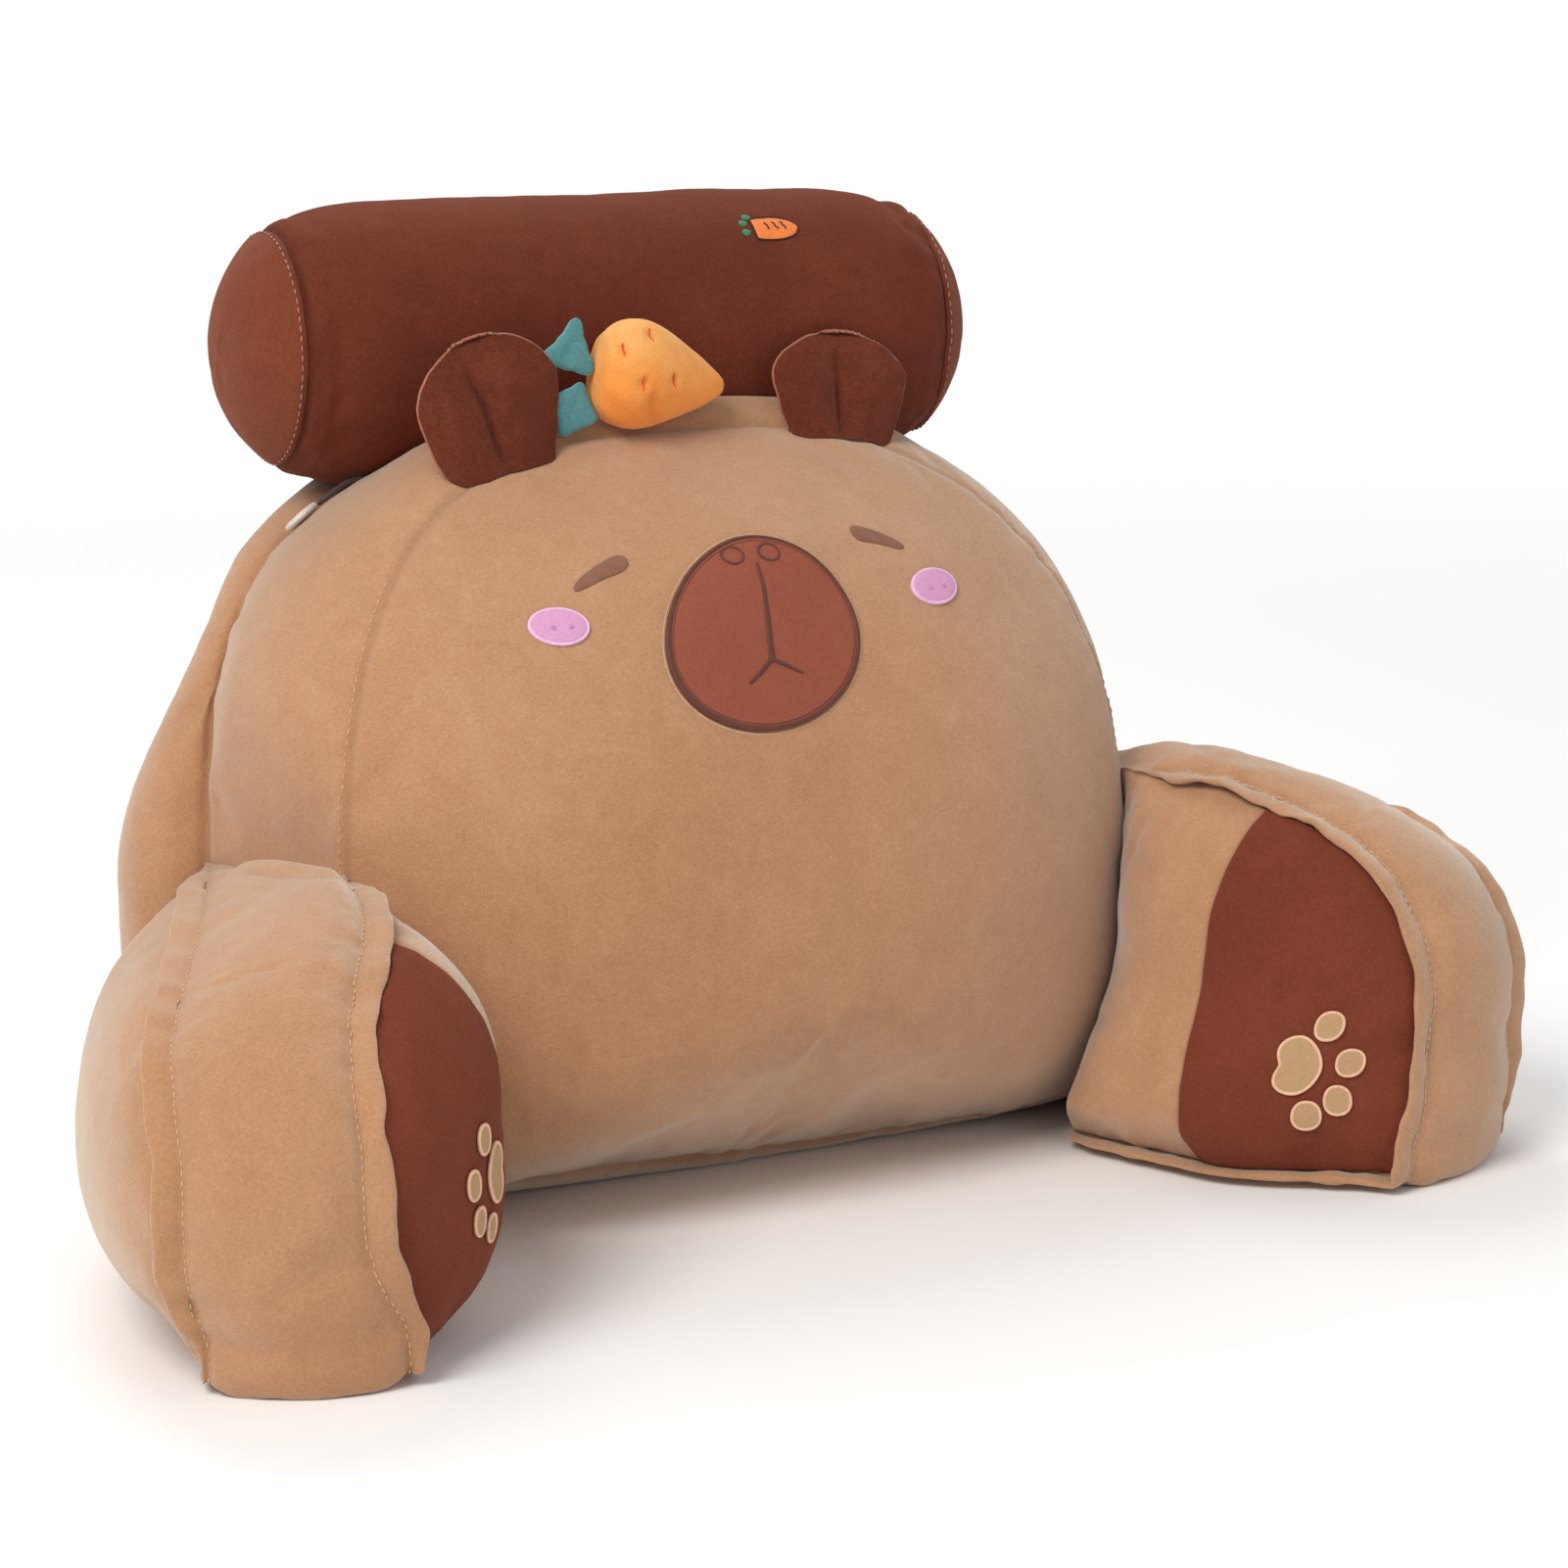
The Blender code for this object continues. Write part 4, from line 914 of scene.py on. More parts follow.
def boxing_point(a, b):
    angle = -pi / 4.0 + 2.0 * pi * a
    front_z = panel_place(FACE, angle)[1]
    place = face_seam_point(angle).lerp(back_seam_point(angle), b)
    if sin(angle) < 0.0:
        crown = FOOT_CROWN * fall(SEAM_FOOT, FOOT_SQUARE_Z, front_z)
    else:
        crown = BOXING_CROWN * smooth(ARM_HEIGHT, ARM_HEIGHT + BOXING_RISE, place.z)
        crown += (BOXING_TOP_CROWN - BOXING_CROWN) * smooth(BOXING_TOP_SHARE, 1.0, sin(angle))
    swell = crown * sin(pi * b) ** BOXING_CROWN_POWER if 0.0 < b < 1.0 else 0.0
    place += Vector((cos(angle), 0.0, sin(angle))) * swell
    held = 1.0 if b in (0.0, 1.0) or place.z < ARM_HEIGHT else 0.0
    return pressed(place), held


def fold_path(start, direction, length):
    """A short slightly curved line in a direction."""
    direction = direction.normalized()
    aside = direction.cross(Vector((0.0, 1.0, 0.0))).normalized()
    return [start + direction * length * t + aside * 0.15 * length * sin(pi * t)
            for t in even(8)]


SIDE_FOLDS = ((0.000, 0.030, 0.0030), (0.014, 0.022, 0.0022), (-0.020, 0.026, 0.0018))  # height, slant, depth


def build_back_cushion(paint):
    fine = spaced(72)
    around = [(side + t) / 4.0 for side in range(4) for t in fine[:-1]] + [1.0]
    cushion = patched("pillow_back_cushion", "tan_plush", paint, (face_point, fine, fine),
                      (back_point, fine, fine), (boxing_point, around, spaced(18)))
    settle(cushion, 3.0, 0.012, 0.0035)
    refine(cushion)
    directions = [turn - 0.5 * pi for turn in turns(314)]
    front = [face_seam_point(angle) for angle in directions]
    behind = [back_seam_point(angle) for angle in directions]
    # the front and back seams, then the side folds; each darkens its groove with painted shade
    lines = [
        seam_line(front, 0.0013, 0.0026, 0.0010, 0.016, 0.012, seed=2, painted_shade=0.26),
        seam_line(behind, 0.0015, 0.0032, 0.0014, 0.022, 0.014, seed=5, painted_shade=0.25),
    ]
    for side in (-1, 1):
        for drop, slant, depth in SIDE_FOLDS:
            root = Vector((side * 0.226, 0.088, 0.190 + drop))
            lines.append(seam_line(fold_path(root, Vector((side * 0.004, -0.020, slant)), 0.05 + drop),
                                   depth, 0.0036, taper=True, painted_shade=0.30))
        root = Vector((side * 0.199, 0.004, 0.192))
        lines.append(seam_line(fold_path(root, Vector((-side * 0.016, 0.010, 0.030)), 0.045),
                               0.0022, 0.0036, taper=True, painted_shade=0.25))
    relief(cushion, lines, 0.0016, 1, keep=pressed)
    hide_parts("back_cushion")
    return cushion, front


# ---------------------------------------- the arms
def arm_corner(turn):
    reach = ARM_LENGTH - ARM_CURVE_START
    rise = ARM_HEIGHT - ARM_NOSE_Z
    power = 2.0 / ARM_NOSE_POWER
    along = ARM_CURVE_START + reach * sin(turn) ** power
    return along, ARM_NOSE_Z + rise * cos(turn) ** power


TURN_AT_ROOT = asin((-ARM_CURVE_START / (ARM_LENGTH - ARM_CURVE_START)) ** (ARM_NOSE_POWER / 2.0))
TURN_AT_CORNER = pi / 4.0


def arm_top(share):
    along, z = arm_corner(TURN_AT_ROOT + (TURN_AT_CORNER - TURN_AT_ROOT) * share)
    dip = (ARM_HEIGHT - ARM_ROOT_HEIGHT) * fall(0.0, ARM_ROOT_DIP, share)
    return along if share > 0.0 else 0.0, z - dip


def arm_front(share):
    if share < ARM_CORNER_START:
        part = share / ARM_CORNER_START
        z = ARM_SEAM_FOOT + (ARM_NOSE_Z - ARM_SEAM_FOOT) * part
        return ARM_LENGTH - ARM_TOE_IN * (1.0 - part) ** 2, z
    part = (share - ARM_CORNER_START) / (1.0 - ARM_CORNER_START)
    return arm_corner(pi / 2.0 + (TURN_AT_CORNER - pi / 2.0) * part)


def arm_plan(a, b):
    """A place on the arm's side panels: a from root to front, b from foot to top."""
    top = arm_top(a)
    front = arm_front(b)
    corner = arm_front(1.0)
    along, z = [b * top[axis] + a * front[axis] - a * b * corner[axis] for axis in (0, 1)]
    return along, z + (1.0 - a) * (1.0 - b) * ARM_SEAM_FOOT


def arm_root(z, outer):
    x = outline_half_width(z, *(BACK if outer else FACE))
    return Vector((x + 0.0008, seam_y(x, z) + BOXING_DEPTH * outer, z))


def arm_seam(along, z, outer, side):
    share = smooth(0.0, ARM_LENGTH, along)
    part = along / ARM_LENGTH
    middle = smooth(0.02, 0.07, z) * fall(0.12, 0.17, z)
    foot = fall(0.0, 0.03, z)
    along += share ** 2 * (ARM_FOOT_REACH[side] * foot - ARM_FRONT_DRAW[side] * middle)
    bow = ARM_BAND_BOW[side][outer] * (1.0 + ARM_TOP_BOW[outer] * smooth(0.10, 0.16, z))
    bow = ARM_ACROSS * bow * smooth(0.4, 1.0, part) * smooth(0.02, 0.07, z)
    if not outer:
        spread = ARM_FOOT_SPREAD[side] * fall(0.0, ARM_FOOT_SPREAD_TOP, z)
        spread *= smooth(0.0, SPREAD_START[side], part)
        spread *= 1.0 - SPREAD_FADE_BY * smooth(SPREAD_FADE, 1.0, part)
        return arm_root(z, False) + ARM_ALONG * along - ARM_ACROSS * spread + bow
    length_scale, height_scale = ARM_OUTER_SCALE
    z *= 1.0 + (height_scale - 1.0) * smooth(0.0, ARM_LOWER_FROM, share)
    z *= 1.0 - ARM_ROOT_LOWER * fall(0.0, 0.5, part)
    along *= 1.0 + (length_scale - 1.0) * share
    width = (arm_root(z, True) - arm_root(z, False)).lerp(ARM_ACROSS * ARM_BAND_WIDTH, share)
    return arm_root(z, False) + ARM_ALONG * along + width + bow


def arm_band(along, z, share, side):
    """A place across the arm's band, from its inner seam to its outer one."""
    return arm_seam(along, z, False, side).lerp(arm_seam(along, z, True, side), share)


def arm_swell(a, b):
    across = 1.0 - abs(2.0 * a - 1.0) ** ARM_CROWN_POWER
    up = 1.0 - abs(2.0 * b - 1.0) ** ARM_CROWN_POWER
    return (across * up) ** ARM_CROWN_FULLNESS


def arm_side(a, b, outer, side):
    along, z = arm_plan(a, b)
    if outer:
        swell = arm_swell(a ** ARM_OUTER_SHIFT[0], b ** ARM_OUTER_SHIFT[1])
        return arm_seam(along, z, True, side) + ARM_ACROSS * ARM_OUTER_CROWN * swell
    swell = arm_swell(a ** ARM_INNER_SHIFT[side], b)
    return before_face(arm_seam(along, z, False, side) - ARM_ACROSS * ARM_INNER_CROWN[side] * swell)


def before_face(place):
    """Keep a place on the arm in front of the back cushion's face panel."""
    angle = atan2(place.z - WIDEST_Z, place.x)
    share = hypot(place.x, place.z - WIDEST_Z)
    share /= outline_radius(angle, *FACE)
    if share < 1.0:
        front = seam_y(place.x, place.z) - face_crown(place.x, place.z, share)
        place.y = min(place.y, front - ARM_BODY_GAP)
    return place


def rim_plan(turn):
    """The side panel's edge: turn goes 0 to 1 over the top, 2 down the front, 3 back along the foot."""
    if turn <= 1.0:
        return arm_top(turn)
    if turn <= 2.0:
        return arm_front(2.0 - turn)
    return arm_front(0.0)[0] * (3.0 - turn), ARM_SEAM_FOOT


def rim_outward(turn):
    before = rim_plan(max(0.0, turn - RIM_STEP))
    after = rim_plan(min(3.0, turn + RIM_STEP))
    along = after[0] - before[0]
    rise = after[1] - before[1]
    size = hypot(along, rise)
    return ARM_ALONG * (-rise / size) + Vector((0.0, 0.0, along / size))


FLANGE_ROWS = (             # lift in flange thicknesses and reach in flange widths
    (-0.30, 0.0), (-0.50, -0.35), (-0.50, -0.70), (-0.42, -0.94), (0.0, -1.0),
    (0.42, -0.95), (0.50, -0.70), (0.48, -0.35), (0.30, -0.08),
)
BAND_STEPS = 16
ARM_CREASES = (             # place along and up the inner panel, direction, length and depth
    (0.125, 0.150, -1.2, 0.030, 0.0016), (0.030, 0.165, -1.9, 0.035, 0.0014),
    (0.150, 0.120, -0.7, 0.025, 0.0012), (0.060, 0.030, 1.2, 0.035, 0.0012),
    (0.012, 0.150, -0.4, 0.040, 0.0016), (0.012, 0.060, 0.3, 0.040, 0.0014),
)
CUSHION_GAP = 0.0008        # between an arm and the stuffed face panel
SEAT_DEPTH = 0.012          # how far inside an arm the search for its inner cloth starts
SEAT_STEP = 0.0030          # between the places from which the cloth's direction is found
FLANGE_WAVE = 0.0028
FLANGE_RIPPLE = 0.0020
FLANGE_PINCH = 0.0060


def band_section():
    """Rows across the band, as share of its width, lift, reach and crown."""
    rows = [(0.0, 0.0, 0.0, 0.0)] + [(0.0, lift, reach, 0.0) for lift, reach in FLANGE_ROWS]
    for share in spaced(BAND_STEPS, 0.4)[1:-1]:
        rows.append((share, 0.0, 0.0, ARM_BAND_CROWN * sin(pi * share) ** ARM_BAND_CROWN_POWER))
    rows += [(1.0, lift, -reach, 0.0) for lift, reach in reversed(FLANGE_ROWS)]
    return rows + [(1.0, 0.0, 0.0, 0.0)]


def build_arm(word, side, cushion_tree, paint, thread_paint):
    """One arm; side is 1 on the right and -1 on the left."""
    section = band_section()
    last = len(section) - 1
    seed = 11 if side > 0 else 23

    def mirrored(place):
        return Vector((side * place.x, place.y, max(place.z, 0.0)))

    def clear(place):
        hit = cushion_tree.ray_cast(Vector((place.x, -0.4, place.z)), Vector((0.0, 1.0, 0.0)))[0]
        if hit is not None and place.y > hit.y - CUSHION_GAP and abs(place.x) < FACE_HALF_WIDTH:
            place.y = hit.y - CUSHION_GAP
        return place

    def band_place(turn, share, lift, reach, crown):
        along, z = rim_plan(turn)
        place = arm_band(along, z, share, side)
        ends = smooth(0.0, FLANGE_ROOT, turn) * fall(3.0 - FLANGE_FOOT, 3.0, turn)
        edge = 0.0 if share < 0.5 else 3.7
        bare = fall(2.0, 2.2, turn)
        tuck = 1.0 - FLANGE_TUCK[side][share > 0.5] * smooth(1.70, 2.0, turn)
        wave = wander(turn * 5.5, seed + edge) * FLANGE_WAVE
        wave += wander(turn * 15.0, seed + edge) * FLANGE_RIPPLE
        pinch = max(0.0, wander(turn * 9.0, seed + edge + 1.3) - 0.28) * FLANGE_PINCH
        outward = lift * FLANGE_THICKNESS * (0.35 + 0.65 * ends)
        outward += (wave * bare * abs(reach) ** 1.5 + crown) * ends
        across = reach * (FLANGE_WIDTH + wander(turn * 7.0, seed + edge + 2.0) * 0.0011 - pinch) * ends * tuck
        return mirrored(place + rim_outward(turn) * outward + ARM_ACROSS * across)

    def band(a, b):
        share, lift, reach, crown = section[round(b * last)]
        turn = 3.0 * a
        near_root = turn < 0.12 or turn > 2.6
        return band_place(turn, share, lift, reach, crown), 1.0 if crown == 0.0 or near_root else 0.0

    def root(a, b):
        share = section[round(a * last)][0]
        z = arm_plan(0.0, b)[1]
        place = arm_band(0.0, z, share, side)
        place += ARM_ACROSS * 0.0008 * sin(pi * share) * sin(pi * b)
        return mirrored(place), 1.0

    def side_patch(outer):
        def place(a, b):
            edge = min(a, b, 1.0 - a, 1.0 - b)
            return mirrored(arm_side(a, b, outer, side)), 1.0 if edge < 0.02 else 0.0
        return place

    steps = spaced(40, 0.5)
    rim = [t / 3.0 for t in steps[:-1]]
    rim += [(2.0 - t) / 3.0 for t in reversed(steps[1:])]
    rim += [(3.0 - t) / 3.0 for t in reversed(steps)]
    arm = patched(f"pillow_arm_{word}", "tan_plush", paint, (side_patch(False), steps, steps),
                  (side_patch(True), steps, steps), (band, rim, even(last)), (root, even(last), steps))
    settle(arm, 3.0, 0.015, 0.003)
    refine(arm)

    def rim_run(start, stop, share, reach=0.0, lift=0.2):
        return [band_place(start + (stop - start) * t, share, lift, reach, 0.0) for t in even(150)]

    def across_band(turn):
        return [band_place(turn + 0.07 * sin(pi * t), t, 0.0, 0.0, ARM_BAND_CROWN)
                for t in even(20)]

    # the arm's seams, tucks and creases; each darkens its groove with painted shade
    lines = []
    for share, other in ((0.0, 0.0), (1.0, 3.0)):
        stitch = rim_run(0.25, 2.8, share)
        lines.append(seam_line(stitch, 0.0012, 0.0020, 0.0010, 0.012, 0.010, seed=seed + other, painted_shade=0.20))
        # the hollow under the flange, darkened strongly with painted shade
        under = rim_run(0.05, 2.95, share, lift=-0.6)
        lines.append(seam_line(under, 0.0006, 0.0030, 0.0012, 0.018, 0.012, seed=seed + other + 1,
                               painted_shade=0.55))
    tuck = ARM_ARC_DEPTH[side]
    lines.append(seam_line(across_band(0.30), tuck, 0.0024, 0.0008, 0.010, 0.010, painted_shade=0.30, seed=seed))
    lines.append(seam_line(across_band(0.22), -0.7 * tuck, 0.0060, painted_shade=0.0))
    start = [mirrored(arm_on_side(panel_start(z, side), z, side)) for z in np.linspace(0.008, 0.176, 40)]
    lines.append(seam_line(start, 0.0012, 0.0022, 0.0006, 0.010, 0.012, painted_shade=0.35, seed=seed + 9))
    for along, z, turn, length, depth in ARM_CREASES:
        reach = length * cos(turn)
        climb = length * sin(turn)
        path = [mirrored(arm_on_side(along + reach * t, z + climb * t, side)) for t in even(6)]
        lines.append(seam_line(path, depth, 0.0042, taper=True, painted_shade=0.12))
    relief(arm, lines, 0.0013, seed, keep=clear)
    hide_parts(f"arm_{word}")
    tree = surface_tree(arm)
    runs = [rim_run(0.22, 2.02, share, reach=sign * -0.06, lift=0.5) for share, sign in ((0.0, 1), (1.0, -1))]
    sew(f"arm_{word}_topstitch", runs, tree, thread_paint, radius=0.00034, seed=seed)
    return tree


def arm_on_side(along, z, side):
    """A place on the inner panel, found from its place on the arm's side."""
    a = min(1.0, along / ARM_LENGTH)
    b = (z - ARM_SEAM_FOOT) / (ARM_HEIGHT - ARM_SEAM_FOOT)
    for _ in range(12):
        now = arm_plan(a, b)
        a = min(1.0, max(0.0, a + (along - now[0]) / ARM_LENGTH))
        b = min(1.0, max(0.0, b + (z - now[1]) / (ARM_HEIGHT - ARM_SEAM_FOOT)))
    return arm_side(a, b, False, side)


def panel_start(z, side):
    share = z / ARM_HEIGHT
    foot, belly, top = PANEL_START[side]
    ends = foot + (top - foot) * share
    return ends + (belly - 0.5 * (foot + top)) * 4.0 * share * (1.0 - share)


def panel_end(z):
    reach = ARM_LENGTH - PANEL_INSET - ARM_CURVE_START
    rise = max(0.0, z - ARM_NOSE_Z) / (ARM_HEIGHT - PANEL_INSET - ARM_NOSE_Z)
    toe = ARM_TOE_IN * max(0.0, 1.0 - z / ARM_NOSE_Z) ** 2
    return ARM_CURVE_START + reach * max(0.0, 1.0 - rise ** ARM_NOSE_POWER) ** (1.0 / ARM_NOSE_POWER) - toe


def inward(side):
    """The direction out of an arm's inner side."""
    return Vector((-side * ARM_ACROSS.x, -ARM_ACROSS.y, 0.0))


def facing(normal, way):
    """A direction of unit length, turned over where it points away from another."""
    if normal.length < 1e-9:
        return way
    return normal.normalized() * (-1.0 if normal.dot(way) < 0.0 else 1.0)


def arm_seat(side, tree, along, z):
    """The arm's cloth beside a place on its inner side, found from within, past the flange."""
    far = arm_on_side(along, z, side)
    start = far + ARM_ACROSS * SEAT_DEPTH
    start.x *= side
    far.x *= side
    return tree.ray_cast(start, inward(side), 0.03)[0] or tree.find_nearest(far)[0]


def off_arm(side, tree, along, z, height):
    """A place over the arm's cloth by a height, beside a place on its inner side."""
    length = arm_seat(side, tree, along + SEAT_STEP, z) - arm_seat(side, tree, along - SEAT_STEP, z)
    rise = arm_seat(side, tree, along, z + SEAT_STEP) - arm_seat(side, tree, along, z - SEAT_STEP)
    return arm_seat(side, tree, along, z) + facing(length.cross(rise), inward(side)) * height


def build_arm_panel(word, side, tree, paint, rim_paint):
    low = ARM_SEAM_FOOT + PANEL_INSET
    high = ARM_HEIGHT
    while panel_end(high) < panel_start(high, side) + 0.004:
        high -= 0.0005

    def lay(a, b, height):
        z = low + (high - low) * smooth(0.0, 1.0, b)
        start = panel_start(z, side)
        along = start + (panel_end(z) - start) * a
        return off_arm(side, tree, along, z, 0.0004 + height)

    panel = sheet_skin(f"brown_panel_{word}", lay, 0.0013, spaced(44), even(64), "brown_plush", paint)
    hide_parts(f"arm_panel_{word}")
    path = [off_arm(side, tree, panel_start(z, side) - 0.0010, z, 0.0004) for z in np.linspace(low, high, 70)]
    seam = satin_path(bmesh.new(), path, tree, 0.0014, 0.0008)
    close_skin(f"brown_panel_{word}_seam", seam, rim_paint)


def pad_reach(angle, notch):
    power = 2.2 if notch == 0.0 or cos(angle) < 0.0 else 1.75
    reach = (abs(cos(angle)) ** power + abs(sin(angle)) ** power) ** (-1.0 / power)
    return reach * (1.0 - notch * max(0.0, -cos(angle)) ** 9)


PAD_LIFT = 0.0022           # from the arm's cloth, past the brown panel
PAD_THICKNESS = 0.0010


def fitted(sample, half_u, half_v):
    """A gently curved sheet through the places sample(u, v), without the cloth's small folds."""
    spots = [(u, v) for u in np.linspace(-half_u, half_u, 7) for v in np.linspace(-half_v, half_v, 7)]
    places = np.array([sample(u, v) for u, v in spots])
    terms = np.array([(1.0, u, v, u * u, u * v, v * v) for u, v in spots])
    keep = np.ones(len(spots), dtype=bool)
    for _ in range(3):
        fit = np.linalg.lstsq(terms[keep], places[keep], rcond=None)[0]
        miss = np.linalg.norm(terms @ fit - places, axis=1)
        keep = miss <= max(0.0004, 2.5 * float(np.median(miss)))

    def place(u, v):
        return Vector(np.array((1.0, u, v, u * u, u * v, v * v)) @ fit)

    return place


def build_paw(word, side, tree, paint, rim_paint):
    borders = bmesh.new()
    step = 0.001
    for row in PAW_ROWS:
        pad = dict(zip(PAW_COLUMNS, row))
        middle = (PAW_SHIFT[side][0] + pad["along"], PAW_SHIFT[side][1] + pad["z"])
        half = (pad["half_length"] * PAW_NARROWING[side], pad["half_height"])
        cloth = fitted(lambda u, v: arm_seat(side, tree, middle[0] + u, middle[1] + v), *half)

        def spot(share, angle, height):
            reach = share * pad_reach(angle, pad["notch"])
            u = reach * cos(angle) * half[0]
            v = reach * sin(angle) * half[1]
            out = (cloth(u + step, v) - cloth(u - step, v)).cross(cloth(u, v + step) - cloth(u, v - step))
            return cloth(u, v) + facing(out, inward(side)) * height

        def lay(a, b, height):
            return spot(*square_to_round(a, b), PAD_LIFT + height)

        name = f"paw_{word}_{pad['name']}"
        piece = sheet_skin(f"{name}_pad", lay, PAD_THICKNESS, even(16), even(16), "beige_plush", paint)
        size = ((cloth(half[0], 0.0) - cloth(-half[0], 0.0)).length,
                (cloth(0.0, half[1]) - cloth(0.0, -half[1])).length)
        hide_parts(name)
        edge = [spot(0.95, angle, PAD_LIFT + 1.6 * PAD_THICKNESS) for angle in turns(72)[:-1]]
        satin_path(borders, edge, surface_tree(piece), 0.0015, 0.0006, closed=True)
    close_skin(f"paw_{word}_borders", borders, rim_paint)


# ---------------------------------------- the bolster
def bolster_point(along, radius, turn):
    across = Vector((-sin(BOLSTER_YAW), cos(BOLSTER_YAW), 0.0))
    up = bolster_axis().cross(across)
    return BOLSTER_CENTRE + bolster_axis() * along + (across * cos(turn) + up * sin(turn)) * radius


def build_bolster(paint, cap_paint, thread_paint):
    cap = []
    for t in spaced(14, 0.5):
        radius = BOLSTER_SEAM_RADIUS * sin(0.5 * pi * t)
        crown = BOLSTER_CAP_CROWN * (1.0 - (radius / BOLSTER_SEAM_RADIUS) ** BOLSTER_CAP_POWER)
        cap.append((-BOLSTER_HALF_LENGTH - crown, radius, 1.0 if t > 0.999 else 0.0))
    lengths = [BOLSTER_HALF_LENGTH * (2.0 * t - 1.0) for t in spaced(52, 0.5)[1:-1]]
    profile = cap + [(along, bolster_radius(along), 0.0) for along in lengths]
    profile += [(-along, radius, held) for along, radius, held in reversed(cap)]

    def point(a, b):
        along, radius, held = profile[round(b * (len(profile) - 1))]
        return bolster_point(along, radius, 2.0 * pi * (a % 1.0)), held

    bolster = patched("head_bolster", "dark_plush", paint, (point, even(96), even(len(profile) - 1)))
    settle(bolster, 2.5, 0.012, 0.0018)
    refine(bolster)
    lines = []
    rings = []
    for side in (-1, 1):
        ring = [bolster_point(side * BOLSTER_HALF_LENGTH, BOLSTER_SEAM_RADIUS, turn) for turn in turns(90)]
        # the cap seams, darkened in their grooves with painted shade
        lines.append(seam_line(ring, 0.0020, 0.0026, 0.0011, 0.020, 0.013, seed=31 + side, painted_shade=0.5))
        rings.append([bolster_point(side * (BOLSTER_HALF_LENGTH + 0.0030), BOLSTER_SEAM_RADIUS - 0.001, turn)
                      for turn in turns(90)])
    relief(bolster, lines, 0.0016, 7, floor=False)
    bolster.data.materials.append(cap_paint)
    for face in bolster.data.polygons:
        along = (face.center - BOLSTER_CENTRE).dot(bolster_axis())
        if abs(along) > BOLSTER_HALF_LENGTH:
            face.material_index = 1
    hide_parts("bolster")
    tree = surface_tree(bolster)
    sew("bolster_topstitch", rings, tree, thread_paint, pitch=0.0046, length=0.0028,
        radius=0.00040, seed=9)
    return tree


MOTIF_PLACE = (0.0765, radians(129.5))     # along the bolster and round it
MOTIF_HALF_LENGTH = 0.0115
MOTIF_HALF_HEIGHT = 0.0078
MOTIF_DASHES = ((-0.0040, 0.0012, 0.0006), (0.0004, 0.0014, 0.0008), (0.0046, 0.0012, 0.0010))
MOTIF_LEAVES = ((-0.0125, 0.0082), (-0.0158, 0.0036), (-0.0158, -0.0026))
MOTIF_LEAF_RADIUS = 0.0022


def build_bolster_motif(tree, orange, outline, green):
    """A small carrot embroidered on the bolster."""
    def spot(u, v):
        along, turn = MOTIF_PLACE
        return bolster_point(along + u, BOLSTER_RADIUS + 0.004, turn - v / BOLSTER_RADIUS)

    def half(u):
        share = (u + MOTIF_HALF_LENGTH) / (2.0 * MOTIF_HALF_LENGTH)
        if share >= 1.0:
            return 0.0
        return MOTIF_HALF_HEIGHT * (1.0 - abs(2.0 * share - 0.72) ** 2.2 / 1.28 ** 2.2) ** 0.5

    def leaf_limits(u):
        reach = sqrt(max(1e-9, MOTIF_LEAF_RADIUS ** 2 - u * u))
        return -reach, reach

    end = MOTIF_HALF_LENGTH * 0.97
    mesh = satin_fill(bmesh.new(), tree, spot, lambda u: (-half(u), half(u)), -end, end, 0.0008)
    top = surface_tree(close_skin("bolster_carrot_fill", mesh, orange))
    mesh = bmesh.new()
    lengths = [MOTIF_HALF_LENGTH * (2.0 * t - 1.0) for t in spaced(40, 0.7)]
    edge = [spot(u, half(u)) for u in lengths] + [spot(-u, -half(-u)) for u in lengths[1:-1]]
    satin_path(mesh, edge, tree, 0.0011, 0.0010, closed=True)
    for u, v, slant in MOTIF_DASHES:
        dash = [spot(u + slant * t, v - 0.0024 * t) for t in (-1.0, 0.0, 1.0)]
        satin_path(mesh, dash, top, 0.0010, 0.0005)
    close_skin("bolster_carrot_outline", mesh, outline)
    mesh = bmesh.new()
    end = MOTIF_LEAF_RADIUS * 0.96
    for u, v in MOTIF_LEAVES:
        satin_fill(mesh, tree, lambda p, q: spot(u + p, v + q), leaf_limits, -end, end, 0.0008)
    close_skin("bolster_carrot_leaves", mesh, green)


# ---------------------------------------- ears, carrot, leaves
def seat_height(tree, x, y):
    return tree.ray_cast(Vector((x, y, 1.0)), Vector((0.0, 0.0, -1.0)))[0].z


def ear_half_width(b, side):
    foot = EAR_BASE_SHARE + (1.0 - EAR_BASE_SHARE) * smooth(0.0, 0.60, b)
    return 0.5 * EAR_WIDTH[side] * foot * max(0.0, 1.0 - b ** 3.4) ** 0.5


EAR_CREASE = {-1: (0.30, 0.54), 1: (0.45, 0.48)}   # its place across, at the top and at the foot


